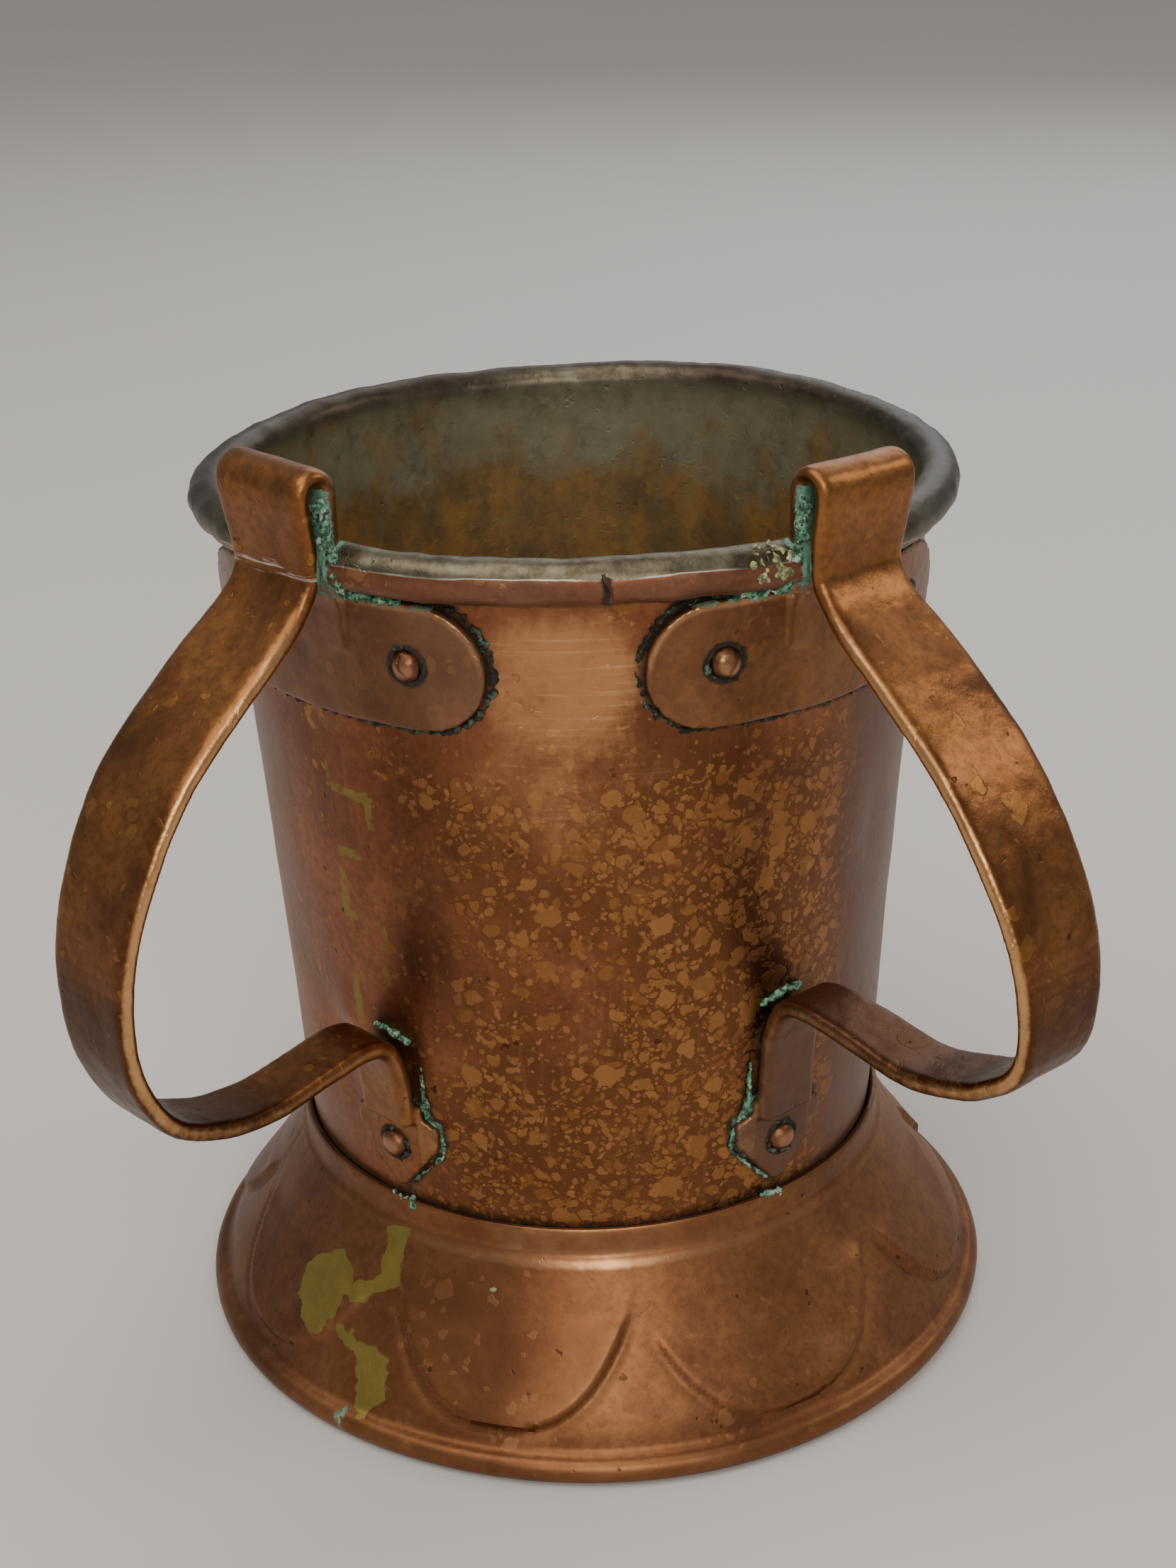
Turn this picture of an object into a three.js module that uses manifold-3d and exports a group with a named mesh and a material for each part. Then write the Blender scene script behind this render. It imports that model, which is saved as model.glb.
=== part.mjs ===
import * as THREE from 'three';
import { mergeVertices } from 'three/addons/utils/BufferGeometryUtils.js';
import Module from 'manifold-3d';

const wasm = await Module();
wasm.setup();

// ---- driving sizes, millimetres and degrees ----
const rimRadius = 60;          // outside of the rolled rim
const rimHeight = 146;         // top of the rolled rim
const beadRadius = 3.25;       // outside radius of the rolled rim tube
const beadOverhang = 4.8;      // rim beyond the wall
const wallSheet = 1.3;
const wallTaper = 7;           // the wall is this much smaller in radius at the waist
const waistHeight = 35;        // top edge of the foot collar
const floorSheet = 1.4;
const footRadius = 67.9;
const footBeadRadius = 2.2;
const skirtSheet = 1.1;
const handleAngle = 42.2;      // each side of the front
const strapThick = 2.8;
const strapWide = 19;
const legWide = 10.6;
const plateLength = 59;
const plateHeight = 19;
const plateThick = 1.8;
const loopRise = 11;           // top of the folded loop above the rim
const foldGap = 1.9;           // slot inside the fold
// each strap is bent by hand: reach beyond the rim, lowest point above the lug,
// roundness of the lower bend, lean of the leg to the front
const ears = {
  left: { side: -1, reach: 38.8, bottom: 11.6, corner: 4.6, lean: 5.8 },
  right: { side: 1, reach: 40.6, bottom: 17.6, corner: 7.2, lean: 3.8 },
};
const lugWide = 16.4;
const lugThick = 1.4;
const rivetAngle = 19.4;       // upper rivets either side of the strap
const rivetHead = 2.4;
const rivetShank = 1.3;
const fit = 0.3;               // gap left between touching pieces
const around = 48;             // facets around the vessel

// ---- sizes that follow ----
const wallTopRadius = rimRadius - beadOverhang;
const wallLowRadius = wallTopRadius - wallTaper;
const wallEnd = waistHeight - 6;
const floorTop = waistHeight - 1.5;
const creaseHeight = rimHeight - 6;
const plateCentre = rimHeight - 2 * beadRadius - plateHeight / 2 - 0.8;
const rivetHeight = plateCentre + 0.4;
const earHeight = (rimHeight + waistHeight / 2) / 2 - 0.75;
const lugTop = waistHeight + 16;
const lugTip = waistHeight + 2.6;
const lowRivetHeight = waistHeight + 11;
const beadCentre = new THREE.Vector2(rimRadius - beadRadius, rimHeight - beadRadius);
const wallSlope = (wallTopRadius - wallLowRadius) / (beadCentre.y - beadRadius - waistHeight);
const wallAt = (z) => wallLowRadius + wallSlope * (z - waistHeight);
const rimWireRadius = beadRadius - wallSheet - fit;
const footWireRadius = footBeadRadius - skirtSheet - fit * 0.7;
const collarInner = wallLowRadius + fit;
const rad = THREE.MathUtils.degToRad;

// ---- materials ----
const bodyCopper = new THREE.MeshStandardMaterial({ name: 'body_copper', color: '#9a5a36', metalness: 1, roughness: 0.42 });
const footCopper = new THREE.MeshStandardMaterial({ name: 'foot_copper', color: '#8d5230', metalness: 1, roughness: 0.38 });
const strapCopper = new THREE.MeshStandardMaterial({ name: 'strap_copper', color: '#96602f', metalness: 1, roughness: 0.4 });
const rivetCopper = new THREE.MeshStandardMaterial({ name: 'rivet_copper', color: '#8a5233', metalness: 1, roughness: 0.45 });
const wireCopper = new THREE.MeshStandardMaterial({ name: 'wire_copper', color: '#7c4a33', metalness: 1, roughness: 0.55 });

// ---- helpers ----
// rings of equal length joined into one closed surface
function loft(rings, joined) {
  const n = rings[0].length;
  const flat = [];
  const tri = (a, b, c) => {
    if (a.distanceTo(b) > 1e-5 && b.distanceTo(c) > 1e-5 && c.distanceTo(a) > 1e-5) flat.push(a, b, c);
  };
  const last = joined ? rings.length : rings.length - 1;
  for (let i = 0; i < last; i += 1) {
    const here = rings[i];
    const next = rings[(i + 1) % rings.length];
    for (let j = 0; j < n; j += 1) {
      const k = (j + 1) % n;
      tri(here[j], next[j], next[k]);
      tri(here[j], next[k], here[k]);
    }
  }
  if (!joined) {
    for (const [ring, flip] of [[rings[0], false], [rings[rings.length - 1], true]]) {
      for (let j = 1; j < n - 1; j += 1) {
        if (flip) tri(ring[0], ring[j + 1], ring[j]);
        else tri(ring[0], ring[j], ring[j + 1]);
      }
    }
  }
  let volume = 0;
  for (let i = 0; i < flat.length; i += 3) volume += flat[i].dot(new THREE.Vector3().crossVectors(flat[i + 1], flat[i + 2]));
  if (volume < 0) for (let i = 0; i < flat.length; i += 3) [flat[i + 1], flat[i + 2]] = [flat[i + 2], flat[i + 1]];
  return new THREE.BufferGeometry().setFromPoints(flat);
}

// a closed profile of [radius, height] pairs turned about the vessel axis
function turned(profile) {
  const rings = [];
  for (let i = 0; i < around; i += 1) {
    const a = (i / around) * Math.PI * 2;
    rings.push(profile.map(([r, z]) => new THREE.Vector3(r * Math.sin(a), -r * Math.cos(a), z)));
  }
  return loft(rings, true);
}

function toSolid(geometry) {
  const plain = geometry.clone();
  plain.deleteAttribute('normal');
  plain.deleteAttribute('uv');
  const welded = mergeVertices(plain, 1e-4);
  return new wasm.Manifold(new wasm.Mesh({
    numProp: 3,
    vertProperties: new Float32Array(welded.attributes.position.array),
    triVerts: new Uint32Array(welded.index.array),
  }));
}

function toGeometry(solid) {
  const mesh = solid.getMesh();
  const geometry = new THREE.BufferGeometry();
  geometry.setAttribute('position', new THREE.BufferAttribute(new Float32Array(mesh.vertProperties), 3));
  geometry.setIndex(new THREE.BufferAttribute(new Uint32Array(mesh.triVerts), 1));
  return geometry;
}

// points of an arc, centre and radius, from one angle to another
function arc(cx, cz, r, from, to, steps) {
  const points = [];
  for (let i = 0; i <= steps; i += 1) {
    const a = rad(from + ((to - from) * i) / steps);
    points.push([cx + r * Math.cos(a), cz + r * Math.sin(a)]);
  }
  return points;
}

// turns a shape built along +X (radial) to its azimuth; 0 is the front, -Y
const toAzimuth = (geometry, degrees) => geometry.clone().rotateZ(rad(degrees - 90));

// bar of round section along the radial direction, from one radius to another
function radialPin(radius, inner, outer, height, degrees, sides = 12) {
  const pin = new THREE.CylinderGeometry(radius, radius, outer - inner, sides);
  pin.rotateZ(-Math.PI / 2).translate((inner + outer) / 2, 0, height);
  return toAzimuth(pin, degrees);
}

// ---- vessel wall with rolled rim ----
// the sheet runs up the inside of the bead, over the wire and back to the wall
const curlEnd = -110;
const wallProfile = [
  [wallAt(wallEnd) - wallSheet, wallEnd],
  [wallAt(wallEnd), wallEnd],
  [wallTopRadius, beadCentre.y - beadRadius],
  ...arc(beadCentre.x, beadCentre.y, beadRadius - wallSheet, 190, curlEnd, 9),
  ...arc(beadCentre.x, beadCentre.y, beadRadius, curlEnd, 172, 11),
  [wallTopRadius - wallSheet, beadCentre.y - beadRadius],
];
function strapNotch(side) {
  const wide = strapWide + 2 * fit;
  const notch = new THREE.BoxGeometry(12, wide, 14);
  notch.translate(wallTopRadius + 0.1 + 6, 0, beadCentre.y - beadRadius + 7 - 0.4);
  return toSolid(toAzimuth(notch, side * handleAngle));
}

// ---- rivets ----
const rivetSpots = [];
const leanAngle = (ear) => THREE.MathUtils.radToDeg(ear.lean / wallAt(lowRivetHeight));
for (const [sideName, ear] of Object.entries(ears)) {
  const { side } = ear;
  rivetSpots.push([`${sideName}_rivet_front`, side * (handleAngle - rivetAngle), rivetHeight, plateThick]);
  rivetSpots.push([`${sideName}_rivet_rear`, side * (handleAngle + rivetAngle), rivetHeight, plateThick]);
  rivetSpots.push([`${sideName}_rivet_lower`, side * (handleAngle - leanAngle(ear)), lowRivetHeight, lugThick]);
}
function rivet(degrees, height, under) {
  const outside = wallAt(height) + fit + under + fit;
  const inside = wallAt(height) - wallSheet - fit;
  const dome = rivetHead * 0.62;
  const back = 0.9;
  const profile = [
    [0, inside - back], [rivetHead * 0.6, inside - back], [rivetHead * 0.8, inside - back * 0.5], [rivetHead * 0.8, inside],
    [rivetShank, inside], [rivetShank, outside], [rivetHead, outside], [rivetHead * 0.92, outside + dome * 0.45],
    [rivetHead * 0.62, outside + dome * 0.82], [0, outside + dome],
  ];
  const rings = [];
  for (let i = 0; i < 10; i += 1) {
    const a = (i / 10) * Math.PI * 2;
    rings.push(profile.map(([r, x]) => new THREE.Vector3(x, r * Math.cos(a), height + r * Math.sin(a))));
  }
  return toAzimuth(loft(rings, true), degrees);
}

// ---- strap handles ----
// shell between two offsets from the wall, cut out by an outline seen along the radius
function wallPatch(outline, thick, low, high) {
  const shell = toSolid(turned([
    [wallAt(low) + fit, low], [wallAt(low) + fit + thick, low],
    [wallAt(high) + fit + thick, high], [wallAt(high) + fit, high],
  ]));
  const punch = new THREE.ExtrudeGeometry(new THREE.Shape(outline), { depth: wallTopRadius + 20, bevelEnabled: false });
  // shape x runs sideways, shape y up, depth along the radius
  punch.applyMatrix4(new THREE.Matrix4().makeBasis(
    new THREE.Vector3(0, 1, 0), new THREE.Vector3(0, 0, 1), new THREE.Vector3(1, 0, 0),
  ));
  return [shell, punch];
}

function strapPath(ear) {
  const half = strapThick / 2;
  const legAt = (z) => wallAt(z) + fit + half;
  const legRadius = wallTopRadius + 0.1 + fit + half;
  const foldRadius = (strapThick + foldGap) / 2;
  const foldHeight = rimHeight + loopRise - half - foldRadius;
  const pinch = legRadius + strapThick + fit;
  const reach = rimRadius + ear.reach - half;
  const low = lugTop + ear.bottom + half;
  const rise = earHeight - low;
  const path = [[legAt(plateCentre + 1), plateCentre + 1], [legRadius, creaseHeight - 1], [legRadius, (creaseHeight + foldHeight) / 2]];
  path.push(...arc(legRadius + foldRadius, foldHeight, foldRadius, 180, 0, 8));
  const spline = new THREE.SplineCurve([
    [legRadius + 2 * foldRadius, foldHeight - 1.5],
    [pinch + 0.2, creaseHeight + 3],
    [pinch + 0.5, creaseHeight],
    [pinch + 4.2, creaseHeight - 4.6],
    [pinch + 14.8, creaseHeight - 12.8],
    [pinch + 27.2, creaseHeight - 24.6],
    [reach - 1.6, earHeight + 17],
    [reach, earHeight],
    [reach - ear.corner, low + rise * 0.32],
    [reach - 9.4 - ear.corner * 0.8, low + 0.8],
    [reach - 22, low],
    [reach - 31.5, low + 1.8],
    [legAt(low) + 7, low + 2.9],
    [legAt(low) + 2.4, low + 1.6],
    [legAt(low - 4) + 0.4, low - 3.4],
    [legAt(low - 8), low - 8],
    [legAt(lugTop), lugTop],
  ].map(([r, z]) => new THREE.Vector2(r, z)));
  for (const p of spline.getSpacedPoints(50)) path.push([p.x, p.y]);
  return path;
}

function strapBody(ear) {
  const { side } = ear;
  const path = strapPath(ear);
  const run = [0];
  for (let i = 1; i < path.length; i += 1) run.push(run[i - 1] + Math.hypot(path[i][0] - path[i - 1][0], path[i][1] - path[i - 1][1]));
  const total = run[run.length - 1];
  const creaseRun = run[path.findIndex(([r, z], i) => i > 12 && z < creaseHeight)];
  const rings = path.map(([r, z], i) => {
    const before = path[Math.max(i - 1, 0)];
    const after = path[Math.min(i + 1, path.length - 1)];
    const along = new THREE.Vector2(after[0] - before[0], after[1] - before[1]).normalize();
    const normal = new THREE.Vector2(along.y, -along.x);
    const s = run[i] / total;
    const taper = THREE.MathUtils.smoothstep(s, 0.42, 0.86);
    const nip = 1 - 0.1 * Math.exp(-(((run[i] - creaseRun) / 7) ** 2)); // hammered narrower where it is pinched
    const wide = (THREE.MathUtils.lerp(strapWide, legWide, taper) * nip) / 2;
    const shift = -side * ear.lean * THREE.MathUtils.smoothstep(s, 0.55, 0.9);
    const half = strapThick / 2;
    const round = half * 0.75;
    const ring = [];
    for (const [sx, sy, start] of [[1, 1, 0], [-1, 1, 90], [-1, -1, 180], [1, -1, 270]]) {
      for (const step of [0, 45, 90]) {
        const a = rad(start + step);
        ring.push([sx * (wide - round) + round * Math.cos(a), sy * (half - round) + round * Math.sin(a)]);
      }
    }
    return ring.map(([u, v]) => new THREE.Vector3(r + normal.x * v, u + shift, z + normal.y * v));
  });
  return toSolid(toAzimuth(loft(rings, false), side * handleAngle));
}

function stadium(length, height, centre) {
  const shape = [];
  const end = height / 2;
  for (const [x, start] of [[length / 2 - end, -90], [-(length / 2 - end), 90]]) {
    for (let i = 0; i <= 8; i += 1) {
      const a = rad(start + (i / 8) * 180);
      shape.push(new THREE.Vector2(x + end * Math.cos(a), centre + end * Math.sin(a)));
    }
  }
  return shape;
}

function lug() {
  const shoulder = lugTop - 4.6;
  return [
    [-legWide / 2, lugTop + 3], [-legWide / 2, lugTop + 0.6], [-lugWide / 2, lugTop - 0.8], [-lugWide / 2 + 0.4, shoulder],
    [0, lugTip], [lugWide / 2 - 0.4, shoulder], [lugWide / 2, lugTop - 0.8], [legWide / 2, lugTop + 0.6], [legWide / 2, lugTop + 3],
  ].map(([x, z]) => new THREE.Vector2(x, z));
}

function handle(ear) {
  const { side } = ear;
  const [plateShell, platePunch] = wallPatch(
    stadium(plateLength, plateHeight, plateCentre), plateThick, plateCentre - plateHeight, plateCentre + plateHeight,
  );
  const [lugShell, lugPunch] = wallPatch(lug(), lugThick, lugTip - 2, lugTop + 4);
  const plate = plateShell.intersect(toSolid(toAzimuth(platePunch, side * handleAngle)));
  const tab = lugShell.intersect(toSolid(toAzimuth(lugPunch, side * (handleAngle - leanAngle(ear)))));
  let body = strapBody(ear).add(plate).add(tab);
  for (const [name, degrees, height] of rivetSpots) {
    if (name.startsWith(side < 0 ? 'left' : 'right')) {
      body = body.subtract(toSolid(radialPin(rivetShank + fit, wallLowRadius - 10, wallTopRadius + 12, height, degrees)));
    }
  }
  return toGeometry(body);
}

// ---- round wires ----
function wireArc(centre, height, radius, from, to, steps, joined) {
  const rings = [];
  const count = joined ? steps : steps + 1;
  for (let i = 0; i < count; i += 1) {
    const a = rad(from + ((to - from) * i) / steps);
    const ring = [];
    for (let j = 0; j < 8; j += 1) {
      const b = (j / 8) * Math.PI * 2;
      const r = centre + radius * Math.cos(b);
      ring.push(new THREE.Vector3(r * Math.sin(a), -r * Math.cos(a), height + radius * Math.sin(b)));
    }
    rings.push(ring);
  }
  return loft(rings, joined);
}

// ---- foot: collar, flare and rolled edge ----
const footBead = new THREE.Vector2(footRadius - footBeadRadius, footBeadRadius);
const flare = new THREE.SplineCurve([
  [collarInner + skirtSheet + 0.1, waistHeight - 4.5],
  [collarInner + skirtSheet + 1.7, waistHeight - 8],
  [collarInner + skirtSheet + 7.4, waistHeight * 0.5 + 1],
  [footRadius - 4.3, waistHeight * 0.26],
  [footRadius - 1.5, footBeadRadius * 2.4],
].map(([r, z]) => new THREE.Vector2(r, z))).getPoints(6).map((p) => [p.x, p.y]);
const inward = flare.map(([r, z], i) => {
  const a = flare[Math.max(i - 1, 0)];
  const b = flare[Math.min(i + 1, flare.length - 1)];
  const d = new THREE.Vector2(b[0] - a[0], b[1] - a[1]).normalize();
  return [r + d.y * skirtSheet, z - d.x * skirtSheet];
});
const skirtProfile = [
  [collarInner, waistHeight], [collarInner + skirtSheet, waistHeight],
  ...flare,
  ...arc(footBead.x, footBead.y, footBeadRadius, 66, -198, 11), // one facet lies flat on the ground
  ...arc(footBead.x, footBead.y, footBeadRadius - skirtSheet, -198, 80, 8),
  ...inward.slice(0, -1).reverse(),
];

// ---- vessel floor, a disc brazed inside the lower end of the wall ----
const floorRadius = wallAt(floorTop - floorSheet) - wallSheet - fit;
const floorProfile = [
  [0, floorTop - floorSheet], [floorRadius - 0.3, floorTop - floorSheet], [floorRadius, floorTop - floorSheet * 0.75],
  [floorRadius, floorTop - floorSheet * 0.3], [floorRadius - 0.4, floorTop], [0, floorTop],
];

// ---- assembly ----
const pieces = [];
const piece = (name, geometry, material) => pieces.push([name, geometry, material]);

let wall = toSolid(turned(wallProfile)).subtract(strapNotch(-1)).subtract(strapNotch(1));
for (const [, degrees, height] of rivetSpots) {
  wall = wall.subtract(toSolid(radialPin(rivetShank + fit, wallLowRadius - 8, wallTopRadius + 2, height, degrees)));
}
piece('vessel_wall', toGeometry(wall), bodyCopper);
piece('vessel_floor', turned(floorProfile), bodyCopper);

const notchHalf = THREE.MathUtils.radToDeg(Math.asin((strapWide / 2 + 2 * fit) / (beadCentre.x - rimWireRadius)));
const frontEnd = handleAngle - notchHalf;
const backStart = handleAngle + notchHalf;
piece('rim_wire_front', wireArc(beadCentre.x, beadCentre.y, rimWireRadius, -frontEnd, frontEnd, 12, false), wireCopper);
piece('rim_wire_back', wireArc(beadCentre.x, beadCentre.y, rimWireRadius, backStart, 360 - backStart, 44, false), wireCopper);

piece('foot_skirt', turned(skirtProfile), footCopper);
piece('foot_wire', wireArc(footBead.x, footBead.y, footWireRadius, 0, 360, around, true), wireCopper);
piece('left_handle', handle(ears.left), strapCopper);
piece('right_handle', handle(ears.right), strapCopper);
for (const [name, degrees, height, under] of rivetSpots) piece(name, rivet(degrees, height, under), rivetCopper);

// the group's origin is the middle of the box round all pieces, on the floor
const box = new THREE.Box3();
for (const [, geometry] of pieces) {
  geometry.computeBoundingBox();
  box.union(geometry.boundingBox);
}
const middle = box.getCenter(new THREE.Vector3());
const group = new THREE.Group();
group.name = 'copper_washing_cup';
for (const [name, geometry, material] of pieces) {
  geometry.translate(-middle.x, -middle.y, -box.min.z);
  geometry.computeVertexNormals();
  const mesh = new THREE.Mesh(geometry, material);
  mesh.name = name;
  group.add(mesh);
}

export default group;
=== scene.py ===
import bpy, math, random
import numpy as np
from mathutils import Matrix, Vector, noise
from mathutils.bvhtree import BVHTree


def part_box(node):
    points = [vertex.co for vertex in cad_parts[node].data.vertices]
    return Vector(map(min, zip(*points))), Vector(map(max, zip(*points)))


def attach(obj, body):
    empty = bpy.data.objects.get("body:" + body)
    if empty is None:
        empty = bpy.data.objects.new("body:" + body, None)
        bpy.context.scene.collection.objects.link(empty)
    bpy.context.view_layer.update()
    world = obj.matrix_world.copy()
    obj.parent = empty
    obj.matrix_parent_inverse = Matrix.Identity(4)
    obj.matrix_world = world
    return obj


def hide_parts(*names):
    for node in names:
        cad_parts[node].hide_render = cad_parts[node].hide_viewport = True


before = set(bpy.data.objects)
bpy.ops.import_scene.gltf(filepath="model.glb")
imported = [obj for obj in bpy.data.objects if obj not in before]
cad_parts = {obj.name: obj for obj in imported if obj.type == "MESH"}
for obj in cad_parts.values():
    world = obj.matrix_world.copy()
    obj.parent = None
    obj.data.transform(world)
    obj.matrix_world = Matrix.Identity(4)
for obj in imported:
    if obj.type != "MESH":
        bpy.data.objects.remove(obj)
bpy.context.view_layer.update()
mm = 0.001
random.seed(7)

# sizes and places come from the frame
footLow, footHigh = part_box("foot_skirt")
wallLow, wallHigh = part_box("vessel_wall")
axisX, axisY = (footLow.x + footHigh.x) / 2, (footLow.y + footHigh.y) / 2
vessel = dict(
    rimTop=wallHigh.z / mm, rimRadius=(wallHigh.x - wallLow.x) / 2 / mm, wallEnd=wallLow.z / mm,
    waist=footHigh.z / mm, footRadius=(footHigh.x - footLow.x) / 2 / mm,
    sheet=1.3, overhang=4.8, taper=7.0, bead=3.25, steps=300,
)
wallTop = vessel["rimRadius"] - vessel["overhang"]
wallTopZ = vessel["rimTop"] - 2 * vessel["bead"]
beadMiddle = (vessel["rimRadius"] - vessel["bead"], vessel["rimTop"] - vessel["bead"])


def wallAt(z):
    return wallTop - vessel["taper"] * (wallTopZ - z) / (wallTopZ - vessel["waist"])


# ---- small helpers ----
def clearSelection():
    if bpy.context.object and bpy.context.object.mode != "OBJECT":
        bpy.ops.object.mode_set(mode="OBJECT")
    bpy.ops.object.select_all(action="DESELECT")


def makeActive(obj):
    clearSelection()
    obj.select_set(True)
    bpy.context.view_layer.objects.active = obj


def placeInMesh(obj):  # the object ends at the origin, its place in its mesh
    makeActive(obj)
    bpy.ops.object.transform_apply(location=True, rotation=True, scale=True)


def applied(obj, kind, **settings):
    makeActive(obj)
    mod = obj.modifiers.new(kind.title(), kind)
    for key, value in settings.items():
        setattr(mod, key, value)
    bpy.ops.object.modifier_apply(modifier=mod.name)


def joined(first, *others):
    clearSelection()
    for o in (first, *others):
        o.select_set(True)
    bpy.context.view_layer.objects.active = first
    bpy.ops.object.join()
    return first


def points(obj):
    co = np.empty(len(obj.data.vertices) * 3)
    obj.data.vertices.foreach_get("co", co)
    return co.reshape(-1, 3)


def setPoints(obj, co):
    obj.data.vertices.foreach_set("co", np.ascontiguousarray(co, dtype=np.float32).ravel())
    obj.data.update()


def normalsOf(obj):
    n = np.empty(len(obj.data.vertices) * 3)
    obj.data.vertices.foreach_get("normal", n)
    return n.reshape(-1, 3)


def paint(obj, name, values):
    layer = obj.data.attributes.get(name) or obj.data.attributes.new(name, "FLOAT", "POINT")
    layer.data.foreach_set("value", np.clip(values, 0, 1).astype(np.float32))


def polar(co):  # azimuth from the front in degrees, radius and height in mm
    x, y = (co[:, 0] - axisX) / mm, (co[:, 1] - axisY) / mm
    return np.degrees(np.arctan2(x, -y)), np.hypot(x, y), co[:, 2] / mm


def onVessel(azimuth, r, z):
    a = math.radians(azimuth)
    return Vector((axisX + r * mm * math.sin(a), axisY - r * mm * math.cos(a), z * mm))


def roughField(co, period, seed):  # smooth random value per point, about -1 to 1
    shift = Vector((seed * 3.7, seed * 1.3, seed * 2.1))
    return np.array([noise.noise(Vector(p) / (period * mm) + shift) for p in co])


def step(low, high, values):
    t = np.clip((values - low) / (high - low), 0, 1)
    return t * t * (3 - 2 * t)


def spread(values, middle, reach, power=2):  # 1 at the middle, fading out over the reach
    return np.exp(-np.abs((values - middle) / reach) ** power)


# a closed outline of (radius, height) points, drawn by extruding a vertex, then spun about the vessel axis
def spunPiece(name, outline, steps, closed=True):
    clearSelection()
    bpy.ops.mesh.primitive_plane_add(size=mm, location=(0, 0, 0))
    obj = bpy.context.object
    obj.name = obj.data.name = name
    bpy.ops.object.mode_set(mode="EDIT")
    bpy.ops.mesh.select_all(action="SELECT")
    bpy.ops.mesh.merge(type="CENTER")
    at = (axisX + outline[0][0] * mm, axisY, outline[0][1] * mm)
    bpy.ops.transform.translate(value=at)
    for (r0, z0), (r1, z1) in zip(outline, outline[1:]):
        bpy.ops.mesh.extrude_region_move(TRANSFORM_OT_translate={"value": ((r1 - r0) * mm, 0, (z1 - z0) * mm)})
    if closed:
        bpy.ops.object.mode_set(mode="OBJECT")
        last = len(obj.data.vertices) - 1
        for i, v in enumerate(obj.data.vertices):
            v.select = i in (0, last)
        bpy.ops.object.mode_set(mode="EDIT")
        bpy.ops.mesh.edge_face_add()
    bpy.ops.mesh.select_all(action="SELECT")
    bpy.ops.mesh.spin(steps=steps, angle=2 * math.pi, center=(axisX, axisY, 0), axis=(0, 0, 1))
    bpy.ops.mesh.select_all(action="SELECT")
    bpy.ops.mesh.remove_doubles(threshold=2e-6)
    bpy.ops.mesh.normals_make_consistent(inside=False)
    bpy.ops.object.mode_set(mode="OBJECT")
    placeInMesh(obj)
    return obj


def arc(cx, cz, r, start, end, count):
    return [(cx + r * math.cos(math.radians(start + (end - start) * i / count)),
             cz + r * math.sin(math.radians(start + (end - start) * i / count))) for i in range(count + 1)]


def between(a, b, count):  # points after a, up to and including b
    return [(a[0] + (b[0] - a[0]) * i / count, a[1] + (b[1] - a[1]) * i / count) for i in range(1, count + 1)]


# the whole cup was raised by hand: it is slightly oval and its rim waves a little
def handRaised(obj):
    co = points(obj)
    az, r, z = polar(co)
    a = np.radians(az)
    high = np.clip(z / vessel["rimTop"], 0, 1.1)
    out = high * (0.35 * np.cos(2 * a + 0.7) + 0.22 * np.cos(3 * a - 1.1)) + 0.12 * np.sin(5 * a + z / 17)
    lift = high ** 4 * (0.45 * np.sin(2 * a + 2.2) + 0.3 * np.sin(5 * a + 0.6))
    co[:, 0] += out * mm * np.sin(a)
    co[:, 1] -= out * mm * np.cos(a)
    co[:, 2] += lift * mm * (z > 60)
    setPoints(obj, co)


def smooth(obj, angle=50):
    makeActive(obj)
    bpy.ops.object.shade_smooth_by_angle(angle=math.radians(angle))


# ---- camera, lights, floor ----
print("camera and light")
view = dict(distance=355.4, height=242.6, turn=2.3, pitch=23.38, heading=2.19, roll=1.43, lens=53.7)
cameraData = bpy.data.cameras.new("camera")
cameraData.lens = view["lens"]
cameraData.clip_start = 0.01
camera = bpy.data.objects.new("camera", cameraData)
bpy.context.scene.collection.objects.link(camera)
turn = math.radians(view["turn"])
place = Vector((axisX + view["distance"] * mm * math.sin(turn), axisY - view["distance"] * mm * math.cos(turn),
                view["height"] * mm))
aim = (Matrix.Rotation(math.radians(view["heading"]), 4, "Z")
       @ Matrix.Rotation(math.radians(90 - view["pitch"]), 4, "X")
       @ Matrix.Rotation(math.radians(-view["roll"]), 4, "Z"))
camera.matrix_world = Matrix.Translation(place) @ aim
bpy.context.scene.camera = camera

lamps = dict(
    overhead=dict(at=(-0.25, -0.25, 1.15), size=1.1, power=8.2, colour=(1.0, 0.975, 0.94)),
    front=dict(at=(0.15, -1.25, 0.80), size=0.8, power=8.5, colour=(1.0, 0.96, 0.92)),
    back=dict(at=(0.3, 1.0, 0.9), size=1.2, power=5.0, colour=(0.95, 0.97, 1.0)),
    window=dict(at=(1.0, 0.17, 0.80), size=0.28, power=1.9, colour=(1.0, 0.95, 0.88)),
)
for lampName, lamp in lamps.items():
    data = bpy.data.lights.new(lampName, "AREA")
    data.shape, data.size, data.energy, data.color = "DISK", lamp["size"], lamp["power"], lamp["colour"]
    obj = bpy.data.objects.new(lampName, data)
    bpy.context.scene.collection.objects.link(obj)
    obj.location = lamp["at"]
    obj.rotation_euler = (Vector((0, 0, 0.08)) - Vector(lamp["at"])).to_track_quat("-Z", "Y").to_euler()

world = bpy.data.worlds.new("room")
bpy.context.scene.world = world
world.use_nodes = True
world.node_tree.nodes["Background"].inputs["Color"].default_value = (0.40, 0.39, 0.38, 1)
world.node_tree.nodes["Background"].inputs["Strength"].default_value = 0.92


# ---- materials ----
def colour(text):  # sRGB hex to linear
    parts = [int(text[i:i + 2], 16) / 255 for i in (1, 3, 5)]
    return tuple(c / 12.92 if c <= 0.04045 else ((c + 0.055) / 1.055) ** 2.4 for c in parts) + (1.0,)


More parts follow.
